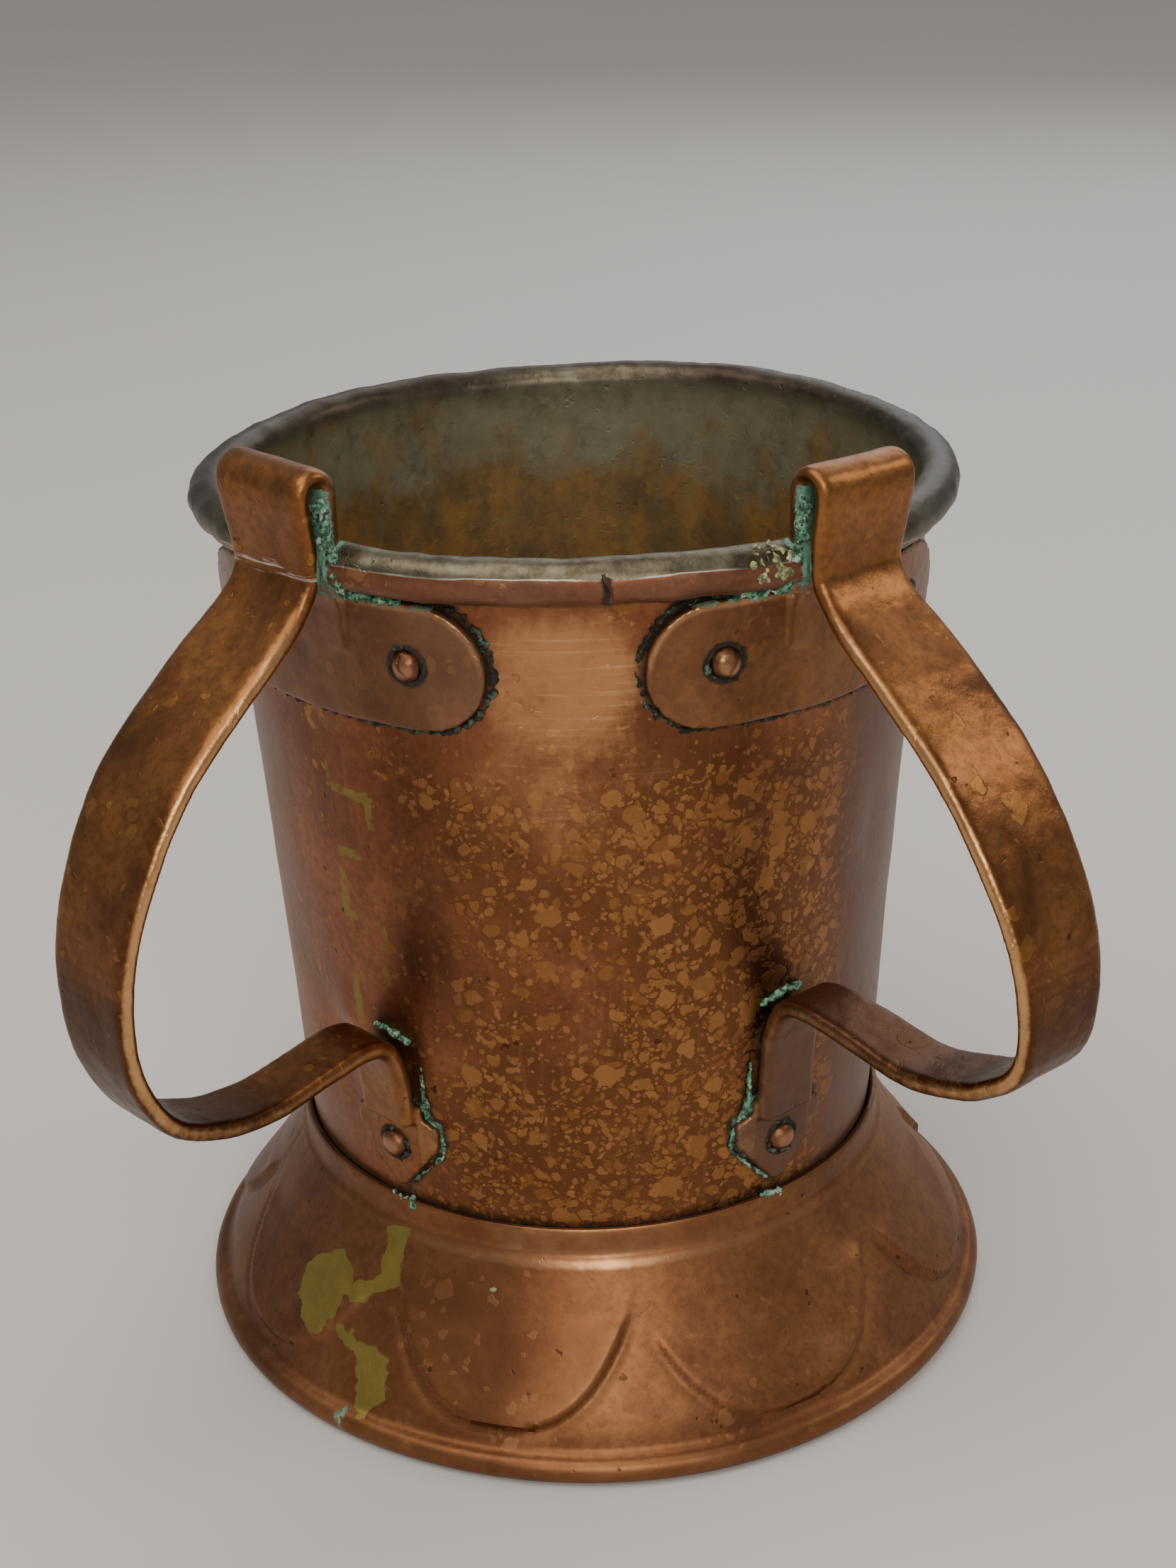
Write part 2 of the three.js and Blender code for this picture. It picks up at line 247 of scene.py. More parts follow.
def addNode(tree, kind, inputs, output=0, **settings):  # inputs are values or links, and one output socket comes back
    made = tree.nodes.new("ShaderNode" + kind)
    for key, value in settings.items():
        setattr(made, key, value)
    for key, value in inputs.items():
        if isinstance(value, bpy.types.NodeSocket):
            tree.links.new(value, made.inputs[key])
        else:
            made.inputs[key].default_value = value
    return made.outputs[output]


def laidOver(tree, below, above, cover, strength=1.0):  # one film of colour over another
    share = addNode(tree, "Math", {0: cover, 1: strength}, operation="MULTIPLY")
    return addNode(tree, "Mix", {0: share, 6: below, 7: above}, 2, data_type="RGBA")


def patches(tree, where, size, detail, grit, low, high, most=1.0):  # noise, none below low and full above high
    field = addNode(tree, "TexNoise", {"Vector": where, "Scale": 1 / size, "Detail": detail, "Roughness": grit})
    return addNode(tree, "MapRange", {"Value": field, "From Min": low, "From Max": high, "To Max": most},
                   interpolation_type="SMOOTHSTEP")


def ragged(tree, area, field, reach):  # a painted area whose edge wanders with a noise field
    painted = addNode(tree, "Attribute", {}, "Fac", attribute_name=area)
    stray = addNode(tree, "Math", {0: field, 1: reach, 2: -reach / 2}, operation="MULTIPLY_ADD")
    return addNode(tree, "Math", {0: painted, 1: stray}, operation="ADD")


# air-aged copper: a brown oxide film of uneven thickness over warm metal, rubbed bright where hands touch it
def agedCopper(name, look):
    mat = bpy.data.materials.new(name)
    mat.use_nodes = True
    tree = mat.node_tree
    shader = tree.nodes["Principled BSDF"]
    place = addNode(tree, "TexCoord", {}, "Object")
    coord = addNode(tree, "Mapping", {"Vector": place, "Location": (-axisX / mm, -axisY / mm, 0),
                                      "Scale": (1 / mm,) * 3})
    wobble = addNode(tree, "TexNoise", {"Vector": coord, "Scale": 1 / 3.5, "Detail": 3}, "Color")
    wobble = addNode(tree, "VectorMath", {0: wobble, 1: (0.5, 0.5, 0.5)}, operation="SUBTRACT")
    wobble = addNode(tree, "VectorMath", {0: wobble, "Scale": 3.2}, operation="SCALE")
    bent = addNode(tree, "VectorMath", {0: coord, 1: wobble}, operation="ADD")
    stretched = {key: addNode(tree, "Mapping", {"Vector": start, "Rotation": turned, "Scale": scale})
                 for key, start, turned, scale in (
        ("scratch", coord, (0.25, 0.1, 0), (0.9, 0.9, 0.045)), ("brush", coord, (0.12, -0.18, 0), (0.05, 0.05, 1.6)),
        ("rub", coord, (0, 0, 0), (0.12, 0.12, 1.5)), ("smear", bent, (0, 0, 0), (0.13, 0.13, 0.09)))}
    fields = {key: addNode(tree, "TexNoise", {"Vector": where, "Scale": 1 / size, "Detail": detail, "Roughness": grit,
                                              "Distortion": twist})
              for key, where, size, detail, grit, twist in (  # sizes in mm
        ("clouds", coord, look["cloud"], 5, 0.62, 0.5), ("fine", coord, 1.3, 5, 0.65, 0),
        ("drift", coord, 11, 4, 0.6, 0), ("shade", bent, 7, 5, 0.65, 0), ("blotch", coord, 4.5, 5, 0.65, 0),
        ("rub", stretched["rub"], 1, 4, 0.6, 0),
        ("spelterEdge", coord, 1.5, 4, 0.6, 0), ("spelterTone", coord, 2.5, 5, 0.7, 0), ("tin", bent, 5, 6, 0.7, 0),
        ("tinTone", coord, 4, 5, 0.6, 0), ("lining", stretched["smear"], 1, 6, 0.68, 0), ("crust", bent, 2, 6, 0.7, 0),
        ("chalk", coord, 1.1, 4, 0.6, 0), ("hammer", coord, look.get("hammer", 9), 2, 0.4, 0))}
    clouds, fine = fields["clouds"], fields["fine"]
    tone = addNode(tree, "ValToRGB", {"Fac": clouds})
    low, middle, high, speck = (colour(text) for text in look["tones"])
    bands = tone.node.color_ramp.elements
    bands[0].position, bands[0].color, bands[1].position, bands[1].color = 0.34, low, 0.68, high
    bands.new(0.5).color = middle
    mottle = addNode(tree, "MapRange", {"Value": fine, "From Min": 0.35, "From Max": 0.75},
                     interpolation_type="SMOOTHSTEP")
    body = laidOver(tree, tone, speck, mottle, 0.55)
    rough = addNode(tree, "Math", {0: clouds, 1: 0.35, 2: look["rough"] - 0.175}, operation="MULTIPLY_ADD")
    height = addNode(tree, "Math", {0: fine, 1: 0.35}, operation="MULTIPLY")
    metal = 1.0

    # flakes of lighter oxide, round where they are few and crowded into cobbles where they are many
    if look.get("spots"):
        thick = ragged(tree, "spotty", fields["drift"], 1.5)
        covered, pale = 0.0, 0.0
        for size, share, shift in look["flakes"]:
            moved = addNode(tree, "VectorMath", {0: bent, 1: (shift, shift * 0.7, shift * 1.3)}, operation="ADD")
            cell = addNode(tree, "TexVoronoi", {"Vector": moved, "Scale": 1 / size}).node
            edge = addNode(tree, "TexVoronoi", {"Vector": moved, "Scale": 1 / size}, feature="DISTANCE_TO_EDGE")
            lots = addNode(tree, "SeparateColor", {"Color": cell.outputs["Color"]}).node
            chosen = addNode(tree, "Math", {0: thick, 1: share}, operation="MULTIPLY")
            chosen = addNode(tree, "Math", {0: chosen, 1: lots.outputs[0]}, operation="SUBTRACT")
            whole = addNode(tree, "Math", {0: lots.outputs[1], 1: 0.32, 2: 0.2}, operation="MULTIPLY_ADD")
            whole = addNode(tree, "Math", {0: whole, 1: cell.outputs["Distance"]}, operation="SUBTRACT")
            flake = 1.0
            for field, low, high in ((chosen, -0.01, 0.03), (edge, 0.02, 0.075), (whole, -0.02, 0.035)):
                inBand = addNode(tree, "MapRange", {"Value": field, "From Min": low, "From Max": high},
                                 interpolation_type="SMOOTHSTEP")
                flake = addNode(tree, "Math", {0: flake, 1: inBand}, operation="MULTIPLY")
            toned = addNode(tree, "Math", {0: flake, 1: lots.outputs[2]}, operation="MULTIPLY")
            pale = addNode(tree, "Math", {0: pale, 1: toned}, operation="MAXIMUM")
            covered = addNode(tree, "Math", {0: covered, 1: flake}, operation="MAXIMUM")
        under = addNode(tree, "MapRange", {"Value": thick, "From Min": 0.15, "From Max": 0.8},
                        interpolation_type="SMOOTHSTEP")
        body = laidOver(tree, body, colour(look["under"]), under, 0.6)
        spotTone = laidOver(tree, colour(look["spot"]), colour(look["spotPale"]), pale)
        body = laidOver(tree, body, spotTone, covered, look["spots"])
        rough = addNode(tree, "Math", {0: covered, 1: 0.06, 2: rough}, operation="MULTIPLY_ADD")
        height = addNode(tree, "Math", {0: covered, 1: 0.22, 2: height}, operation="MULTIPLY_ADD")
    # the deep mask lays this colour as stains, and as painted shade on the sides of the cup and foot and on the lower
    # curve of the straps
    if look.get("deep"):
        shade = ragged(tree, "deep", fields["shade"], 0.7)
        shade = addNode(tree, "MapRange", {"Value": shade, "From Min": 0.25, "From Max": 0.95},
                        interpolation_type="SMOOTHSTEP")
        body = laidOver(tree, body, colour(look["stainAndShade"]), shade, look["deep"])

    # purplish-brown and black patches of thicker oxide, and pits
    dark = patches(tree, bent, look.get("darkSize", 16), 6, 0.7, 0.54, 0.70)
    body = laidOver(tree, body, colour(look["stainAndShade"]), dark, look["dark"])
    pits = patches(tree, coord, 2.4, 2, 0.5, 0.70, 0.76)
    body = laidOver(tree, body, colour("#2a1c14"), pits, 0.6)
    height = addNode(tree, "Math", {0: pits, 1: -0.5, 2: height}, operation="MULTIPLY_ADD")

    # rubbed bright metal on edges and high spots, and painted highlights on the front of the cup, the foot's collar and
    # the right strap
    blotch = addNode(tree, "Math", {0: fine, 1: fields["blotch"]}, operation="ADD")
    blotch = addNode(tree, "Math", {0: blotch, 1: 0.5}, operation="SUBTRACT")
    wearAndHighlight = ragged(tree, "wearAndHighlight", blotch, 0.6)
    wearAndHighlight = addNode(tree, "MapRange", {"Value": wearAndHighlight, "From Min": 0.25, "From Max": 0.95},
                   interpolation_type="SMOOTHSTEP")
    body = laidOver(tree, body, colour(look["bright"]), wearAndHighlight, look["wear"])
    rubbing = addNode(tree, "Math", {0: wearAndHighlight, 1: 0.8}, operation="MULTIPLY")
    rough = addNode(tree, "Mix", {0: rubbing, 2: rough, 3: 0.24})
    if look.get("scratch"):  # scratches drawn out by the hammer
        body = laidOver(tree, body, colour(look["bright"]), patches(tree, stretched["scratch"], 1, 2, 0.5, 0.60, 0.66),
                        look["scratch"])
    if look.get("tin"):
        brushed = patches(tree, stretched["brush"], 1, 3, 0.6, 0.52, 0.68)
        brushed = addNode(tree, "Math", {0: brushed, 1: wearAndHighlight}, operation="MULTIPLY")
        body = laidOver(tree, body, colour("#e3b184"), brushed, 0.35)
    if look.get("silver"):  # solder rubbed bright along the fold
        rubbed = ragged(tree, "silver", fields["rub"], 1.5)
        rubbed = addNode(tree, "MapRange", {"Value": rubbed, "From Min": 0.62, "From Max": 0.82},
                         interpolation_type="SMOOTHSTEP")
        body = laidOver(tree, body, colour("#cfc6ba"), rubbed, 0.85)
        rough = addNode(tree, "Mix", {0: rubbed, 2: rough, 3: 0.30})

    # a duller plum-brown film, less metallic; on the sides of the cup and the lower leg of the right strap it is
    # painted shade
    if look.get("plum"):
        plum = addNode(tree, "Attribute", {}, "Fac", attribute_name="plum")
        body = laidOver(tree, body, laidOver(tree, colour("#4d3429"), colour("#7d5a47"), clouds), plum, 0.75)
        metal = addNode(tree, "Math", {0: plum, 1: -0.5, 2: 1.0}, operation="MULTIPLY_ADD")

    # yellow spelter left by brazing
    if look.get("brass"):
        if look["brass"] == "seam":
            spelter = seamLine(tree, coord)
        else:
            spelter = ragged(tree, "brass", fields["spelterEdge"], 0.6)
            spelter = addNode(tree, "MapRange", {"Value": spelter, "From Min": 0.42, "From Max": 0.58},
                              interpolation_type="SMOOTHSTEP")
        spelterTone = laidOver(tree, colour("#7a6c38"), colour("#a5954c"), fields["spelterTone"])
        body = laidOver(tree, body, spelterTone, spelter, look.get("spelter", 0.9))
        rough = addNode(tree, "Mix", {0: spelter, 2: rough, 3: 0.5})

    # hot-wiped tin, dulled to pewter, thin enough in places to show the copper
    if look.get("tin"):
        soft = ragged(tree, "tin", fields["tin"], 0.45)
        tin = addNode(tree, "MapRange", {"Value": soft, "From Min": 0.44, "From Max": 0.56},
                      interpolation_type="SMOOTHSTEP")
        tinTone = laidOver(tree, colour("#3f3b2c"), colour("#77725f"), patches(tree, coord, 5, 6, 0.7, 0.3, 0.7))
        # this mask darkens the tin with tarnish and painted shade round the sides and back of the bead
        tarnishAndShade = addNode(tree, "Attribute", {}, "Fac", attribute_name="tarnishAndShade")
        tinTone = laidOver(tree, tinTone, colour("#27231e"), tarnishAndShade, 0.92)
        body = laidOver(tree, body, tinTone, tin, 0.93)
        rough = addNode(tree, "Mix", {0: tin, 2: rough, 3: 0.40})
        line = addNode(tree, "Attribute", {}, "Fac", attribute_name="tinEdgeHighlight")  # bright line where the tin ends, painted as a highlight along the front of the bead
        for low, high in ((0.38, 0.48), (0.70, 0.56)):
            flank = addNode(tree, "MapRange", {"Value": soft, "From Min": low, "From Max": high},
                            interpolation_type="SMOOTHSTEP")
            line = addNode(tree, "Math", {0: line, 1: flank}, operation="MULTIPLY")
        body = laidOver(tree, body, colour("#cfc8b4"), line)
        # the lining: grey tin above, worn to brown and ochre below
        grey = ragged(tree, "tinInside", fields["lining"], 1.5)
        grey = addNode(tree, "MapRange", {"Value": grey, "From Min": 0.3, "From Max": 0.75},
                       interpolation_type="SMOOTHSTEP")
        rust = laidOver(tree, colour("#604c2b"), colour("#83602e"),
                        patches(tree, stretched["smear"], 0.9, 6, 0.7, 0.36, 0.66))
        pewter = laidOver(tree, colour("#5b5640"), colour("#7d785e"), fields["tinTone"])
        lining = laidOver(tree, rust, pewter, grey)
        lining = laidOver(tree, lining, colour("#453a24"),
                          patches(tree, stretched["smear"], 0.55, 5, 0.7, 0.48, 0.72, 0.5))
        inner = addNode(tree, "Attribute", {}, "Fac", attribute_name="inside")
        body = laidOver(tree, body, lining, inner)
        rough = addNode(tree, "Mix", {0: inner, 2: rough, 3: 0.55})
        metal = addNode(tree, "Math", {0: inner, 1: -0.6, 2: metal}, operation="MULTIPLY_ADD")

    # dark grime packed along the seams, and painted shade in the creases, grooves and corners
    grimeAndShade = ragged(tree, "grimeAndShade", fine, 0.55)
    grimeAndShade = addNode(tree, "MapRange", {"Value": grimeAndShade, "From Min": 0.35, "From Max": 0.8},
                    interpolation_type="SMOOTHSTEP")
    body = laidOver(tree, body, colour("#1d1610"), grimeAndShade, 0.85)
    rough = addNode(tree, "Mix", {0: grimeAndShade, 2: rough, 3: 0.75})
    metal = addNode(tree, "Math", {0: grimeAndShade, 1: -0.6, 2: metal}, operation="MULTIPLY_ADD")

    # verdigris stain, a powdery green carbonate
    green = ragged(tree, "green", fields["crust"], 1.1)
    green = addNode(tree, "MapRange", {"Value": green, "From Min": 0.45, "From Max": 0.62},
                    interpolation_type="SMOOTHSTEP")
    body = laidOver(tree, body, laidOver(tree, colour("#2c5040"), colour("#86b196"), fields["chalk"]), green)
    rough = addNode(tree, "Mix", {0: green, 2: rough, 3: 0.92})
    rough = addNode(tree, "Math", {0: rough, 1: 0.12}, operation="MAXIMUM")
    metal = addNode(tree, "Math", {0: metal, 1: green}, operation="SUBTRACT", use_clamp=True)
    lumps = addNode(tree, "Math", {0: green, 1: fields["crust"]}, operation="MULTIPLY")
    height = addNode(tree, "Math", {0: lumps, 1: 2.2, 2: height}, operation="MULTIPLY_ADD")

    height = addNode(tree, "Math", {0: fields["hammer"], 1: look["hammerDepth"], 2: height}, operation="MULTIPLY_ADD")
    bump = addNode(tree, "Bump", {"Height": height, "Strength": look["bump"], "Distance": 0.35 * mm})
    for key, link in {"Base Color": body, "Roughness": rough, "Metallic": metal, "Normal": bump}.items():
        tree.links.new(link, shader.inputs[key])
    return mat


# toothed brazed seam up the wall, square tabs stepping left and right of one line; sizes in mm
seam = dict(azimuth=-38.5, radius=52.0, tab=10.6, depth=7.4, half=0.75, low=60.0, high=118.0)


def seamLine(tree, coord):
    x, y, z = addNode(tree, "SeparateXYZ", {0: coord}).node.outputs
    field = addNode(tree, "TexNoise", {"Vector": coord, "Scale": 1 / 4, "Detail": 3, "Roughness": 0.6})
    jitter = addNode(tree, "Math", {0: field, 1: 2.6, 2: -1.3}, operation="MULTIPLY_ADD")
    behind = addNode(tree, "Math", {0: y, 1: -1.0}, operation="MULTIPLY")
    around = addNode(tree, "Math", {0: x, 1: behind}, operation="ARCTAN2")
    around = addNode(tree, "Math", {0: around, 1: math.radians(seam["azimuth"])}, operation="SUBTRACT")
    across = addNode(tree, "Math", {0: around, 1: seam["radius"], 2: jitter}, operation="MULTIPLY_ADD")
    rise = addNode(tree, "Math", {0: jitter, 1: 0.8, 2: z}, operation="MULTIPLY_ADD")
    rise = addNode(tree, "Math", {0: rise, 1: seam["tab"]}, operation="DIVIDE")
    side = addNode(tree, "Math", {0: rise, 1: 2.0}, operation="MODULO")
    side = addNode(tree, "Math", {0: side, 1: 1.0}, operation="GREATER_THAN")
    side = addNode(tree, "Math", {0: side, 1: seam["depth"], 2: -seam["depth"] / 2}, operation="MULTIPLY_ADD")
    upright = addNode(tree, "Math", {0: across, 1: side}, operation="SUBTRACT")
    upright = addNode(tree, "Math", {0: upright}, operation="ABSOLUTE")
    upright = addNode(tree, "Math", {0: upright, 1: seam["half"]}, operation="LESS_THAN")
    level = addNode(tree, "Math", {0: rise, 1: 0.5}, operation="ADD")
    level = addNode(tree, "Math", {0: level, 1: 1.0}, operation="MODULO")
    level = addNode(tree, "Math", {0: level, 1: 0.5}, operation="SUBTRACT")
    level = addNode(tree, "Math", {0: level}, operation="ABSOLUTE")
    level = addNode(tree, "Math", {0: level, 1: seam["half"] / seam["tab"]}, operation="LESS_THAN")
    reach = addNode(tree, "Math", {0: across}, operation="ABSOLUTE")
    reach = addNode(tree, "Math", {0: reach, 1: seam["depth"] / 2}, operation="LESS_THAN")
    level = addNode(tree, "Math", {0: level, 1: reach}, operation="MULTIPLY")
    line = addNode(tree, "Math", {0: upright, 1: level}, operation="MAXIMUM")
    for start, end in ((seam["low"], seam["low"] + 6), (seam["high"], seam["high"] - 4)):
        inSpan = addNode(tree, "MapRange", {"Value": z, "From Min": start, "From Max": end},
                         interpolation_type="SMOOTHSTEP")
        line = addNode(tree, "Math", {0: line, 1: inSpan}, operation="MULTIPLY")
    return addNode(tree, "Math", {0: line, 1: patches(tree, coord, 6, 4, 0.6, 0.44, 0.60)}, operation="MULTIPLY")


# cold-worked copper sheet, raised and planished, then aged indoors: dim brown, warm where rubbed and where highlights
# are painted, spotted with lighter oxide; the tin wiped inside and over the rim is grey and soft
sheetLook = dict(
    tones=("#71472f", "#8b573b", "#a26c49", "#623b28"), cloud=24, rough=0.42, spots=0.78, spot="#8f6036",
    spotPale="#b07c4a", under="#6a4429",
    flakes=((4.2, 0.55, 0.0), (2.6, 0.85, 31.0), (1.7, 0.95, 57.0), (1.1, 0.9, 83.0)),
    deep=0.62, plum=True, stainAndShade="#4d3028", dark=0.42, bright="#cd9566", wear=0.72, scratch=0.06, tin=True, brass="seam",
    spelter=0.8, bump=0.5, hammer=11, hammerDepth=0.8)
# the same sheet in the foot, handled less and evener: satin brown with yellow spelter patches
skirtLook = dict(
    tones=("#754a31", "#885a3a", "#986a47", "#66432c"), cloud=30, rough=0.46, spots=0.3, spot="#946544",
    spotPale="#ab7b54", under="#7f5436", flakes=((3.4, 0.5, 12.0), (1.8, 0.7, 44.0)), deep=0.8, stainAndShade="#482d26",
    dark=0.35, darkSize=22, bright="#c4956d", wear=0.5, brass="patch", bump=0.25, hammer=16, hammerDepth=0.5)
# hot-forged copper bar: redder and glossier than the sheet, with bright rubbed edges, partly painted highlights, and
# solder in the crease
strapLook = dict(
    tones=("#6c4529", "#8c5b36", "#a47040", "#5a3b26"), cloud=19, rough=0.36, spots=0.55, spot="#96632f",
    spotPale="#b38043", under="#774826", flakes=((5.4, 0.6, 0.0), (3.0, 0.5, 31.0), (1.3, 0.45, 57.0)), deep=0.7,
    silver=True, plum=True, stainAndShade="#3a251a", dark=0.3, darkSize=11, bright="#deaa74", wear=0.75, bump=0.5, hammer=7,
    hammerDepth=1.0)
# cold-headed copper rivets: small hammered facets, bright on the crown, with grime and painted shade where the head
# meets the plate
rivetLook = dict(
    tones=("#5f3d2b", "#79513a", "#8f6449", "#523522"), cloud=5, rough=0.38, stainAndShade="#3a281e", dark=0.5, darkSize=4,
    bright="#bd8c68", wear=0.6, bump=0.6, hammer=2.5, hammerDepth=1.0)
# drawn wire inside the rolled edges: even dark brown, only seen in gaps
wireLook = dict(rivetLook, tones=("#4f3626", "#6d4a33", "#84583c", "#46301f"))
sheetCopper = agedCopper("aged copper sheet, tinned", sheetLook)
skirtCopper = agedCopper("aged copper foot", skirtLook)
strapCopper = agedCopper("forged copper strap", strapLook)
rivetCopper = agedCopper("hammered copper rivet", rivetLook)


# crusts grown on the metal: matt and chalky, pale on the lumps and dark in between
def powder(name, low, mid, high, rough):
    mat = bpy.data.materials.new(name)
    mat.use_nodes = True
    tree = mat.node_tree
    shader = tree.nodes["Principled BSDF"]
    place = addNode(tree, "TexCoord", {}, "Object")
    coord = addNode(tree, "Mapping", {"Vector": place, "Scale": (1 / mm,) * 3})
    grain = addNode(tree, "TexNoise", {"Vector": coord, "Scale": 1 / 0.9, "Detail": 6, "Roughness": 0.7})  # 0.9 mm grit
    drift = addNode(tree, "TexNoise", {"Vector": coord, "Scale": 1 / 3.2, "Detail": 4, "Roughness": 0.6,
                                       "Distortion": 0.6})
    tone = colour(mid)
    for field, start, end, tint in ((drift, 0.46, 0.66, high), (grain, 0.58, 0.42, low)):
        cover = addNode(tree, "MapRange", {"Value": field, "From Min": start, "From Max": end},
                        interpolation_type="SMOOTHSTEP")
        tone = laidOver(tree, tone, colour(tint), cover)
    tree.links.new(tone, shader.inputs["Base Color"])
    bump = addNode(tree, "Bump", {"Height": grain, "Strength": 0.8, "Distance": 0.3 * mm})
    tree.links.new(bump, shader.inputs["Normal"])
    shader.inputs["Roughness"].default_value = rough
    return mat


verdigris = powder("verdigris, copper carbonate", "#27402f", "#6a9f7e", "#bdd6c0", 0.93)
limeCrust = powder("lime scale with verdigris", "#57573a", "#9f9c68", "#c6c49c", 0.9)
blackCrust = powder("soot and grime with verdigris", "#17120d", "#2e261d", "#5f7562", 0.85)
wireCopper = agedCopper("drawn copper wire", wireLook)


def dress(obj, material):
    obj.data.materials.clear()
    obj.data.materials.append(material)
    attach(obj, "root")


# matt painted board under the cup: pale, faintly uneven, no gloss
floorMaterial = bpy.data.materials.new("matt painted board")
floorMaterial.use_nodes = True
floorTree = floorMaterial.node_tree
floorPlace = addNode(floorTree, "TexCoord", {}, "Object")
floorField = addNode(floorTree, "TexNoise", {"Vector": floorPlace, "Scale": 3, "Detail": 3})  # a third of a metre
floorShade = laidOver(floorTree, colour("#c9c4bf"), colour("#d0ccc8"), floorField)
floorTree.links.new(floorShade, floorTree.nodes["Principled BSDF"].inputs["Base Color"])
floorTree.nodes["Principled BSDF"].inputs["Roughness"].default_value = 0.8
clearSelection()
bpy.ops.mesh.primitive_plane_add(size=6, location=(0, 0, 0))
floor = bpy.context.object
floor.name = "floor"
floor.data.materials.append(floorMaterial)

# ---- handles ----
print("handles")
strap = dict(thick=2.8, wide=19.0, leg=10.6, angle=42.2, plateLong=59.0, plateTall=19.0, plateThick=1.8, gap=0.3,
             loopRise=11.0, foldGap=1.9, lugWide=16.4, lugThick=1.5, voxel=0.42)
plateMiddle = vessel["rimTop"] - 2 * vessel["bead"] - strap["plateTall"] / 2 - 0.8
crease = vessel["rimTop"] - 6
lugTop, lugTip = vessel["waist"] + 16, vessel["waist"] + 2.6
ears = dict(
    left=dict(side=-1, reach=38.8, bottom=11.6, corner=4.6, lean=5.8),
    right=dict(side=1, reach=40.6, bottom=17.6, corner=7.2, lean=3.8),
)
# silver: strength, height over the crease and reach of the solder; the rest are strengths
strapMarks = dict(
    left=dict(silver=(0.62, 2.0, 3.2), spotty=0.3, plate=0.75, lug=0.15, lowerLeg=0.0, keepDeep=0.0, highlightBand=0.0),
    right=dict(silver=(0.434, 0.5, 1.8), spotty=0.75, plate=0.4, lug=0.35, lowerLeg=0.3, keepDeep=0.8, highlightBand=0.3),
)


def smoothBetween(low, high, s):
    t = min(max((s - low) / (high - low), 0), 1)
    return t * t * (3 - 2 * t)


def throughPoints(knots, count):  # smooth curve through the knots, evenly spaced
    knots = [np.array(k, float) for k in knots]
    padded = [2 * knots[0] - knots[1]] + knots + [2 * knots[-1] - knots[-2]]
    fineLine = []
    for a, b, c, d in zip(padded, padded[1:], padded[2:], padded[3:]):
        for t in np.linspace(0, 1, 24, endpoint=False):
            square, cube = 2 * a - 5 * b + 4 * c - d, 3 * b - a - 3 * c + d
            fineLine.append(0.5 * (2 * b + (c - a) * t + square * t * t + cube * t ** 3))
    fineLine = np.array(fineLine + [knots[-1]])
    run = np.r_[0, np.cumsum(np.hypot(*np.diff(fineLine, axis=0).T))]
    at = np.linspace(0, run[-1], count)
    return [(float(np.interp(s, run, fineLine[:, 0])), float(np.interp(s, run, fineLine[:, 1]))) for s in at]


def strapPath(ear):
    half = strap["thick"] / 2
    legAt = lambda z: wallAt(z) + strap["gap"] + half
    leg = wallTop + 0.1 + strap["gap"] + half
    fold = (strap["thick"] + strap["foldGap"]) / 2
    foldZ = vessel["rimTop"] + strap["loopRise"] - half - fold
    pinch = leg + strap["thick"] + strap["gap"]
    reach = vessel["rimRadius"] + ear["reach"] - half
    low = lugTop + ear["bottom"] + half
    widest = (vessel["rimTop"] + vessel["waist"] / 2) / 2 - 0.75
    # the inner leg is forged thin where it meets its plate
    path = []
    for h in (plateMiddle + 1, plateMiddle + 4, plateMiddle + 7, plateMiddle + 9.5, crease + 1, crease + 3):
        thicker = (half - strap["plateThick"] / 2) * smoothBetween(plateMiddle + 6, crease + 3, h)
        path.append((wallAt(h) + strap["gap"] + strap["plateThick"] / 2 + thicker, h))
    path += [(leg, (crease + 3 + foldZ) / 2)]
    path += arc(leg + fold, foldZ, fold, 180, 0, 12)
    path += throughPoints([
        (leg + 2 * fold, foldZ - 1.5), (pinch + 0.2, crease + 3), (pinch + 0.5, crease), (pinch + 4.2, crease - 4.6),
        (pinch + 14.8, crease - 12.8), (pinch + 27.2, crease - 24.6), (reach - 1.6, widest + 17), (reach, widest),
        (reach - ear["corner"], low + (widest - low) * 0.32), (reach - 9.4 - ear["corner"] * 0.8, low + 0.8),
        (reach - 22, low), (reach - 31.5, low + 1.8), (legAt(low) + 7, low + 2.9), (legAt(low) + 2.4, low + 1.6),
        (legAt(low - 4) + 0.4, low - 3.4), (legAt(low - 8), low - 8), (legAt(lugTop), lugTop)], 84)
    return path


def strapShape(path, ear):  # width, sideways lean and turning angle at each step of the path
    run = [0.0]
    for a, b in zip(path, path[1:]):
        run.append(run[-1] + math.dist(a, b))
    creaseRun = run[next(i for i, p in enumerate(path) if i > 20 and p[1] < crease)]
    shape = []
    for i, s in enumerate(run):
        share = s / run[-1]
        wide = strap["wide"] + (strap["leg"] - strap["wide"]) * smoothBetween(0.42, 0.86, share)
        wide *= 1 - 0.1 * math.exp(-((s - creaseRun) / 7) ** 2)
        lean = -ear["side"] * ear["lean"] * smoothBetween(0.55, 0.9, share)
        a, b = path[max(i - 1, 0)], path[min(i + 1, len(path) - 1)]
        thin = 0.5 + 0.5 * smoothBetween(plateMiddle + 6, crease + 3, path[i][1]) if i < 7 else 1.0
        shape.append((wide, lean, math.atan2(b[0] - a[0], b[1] - a[1]), thin))
    return shape


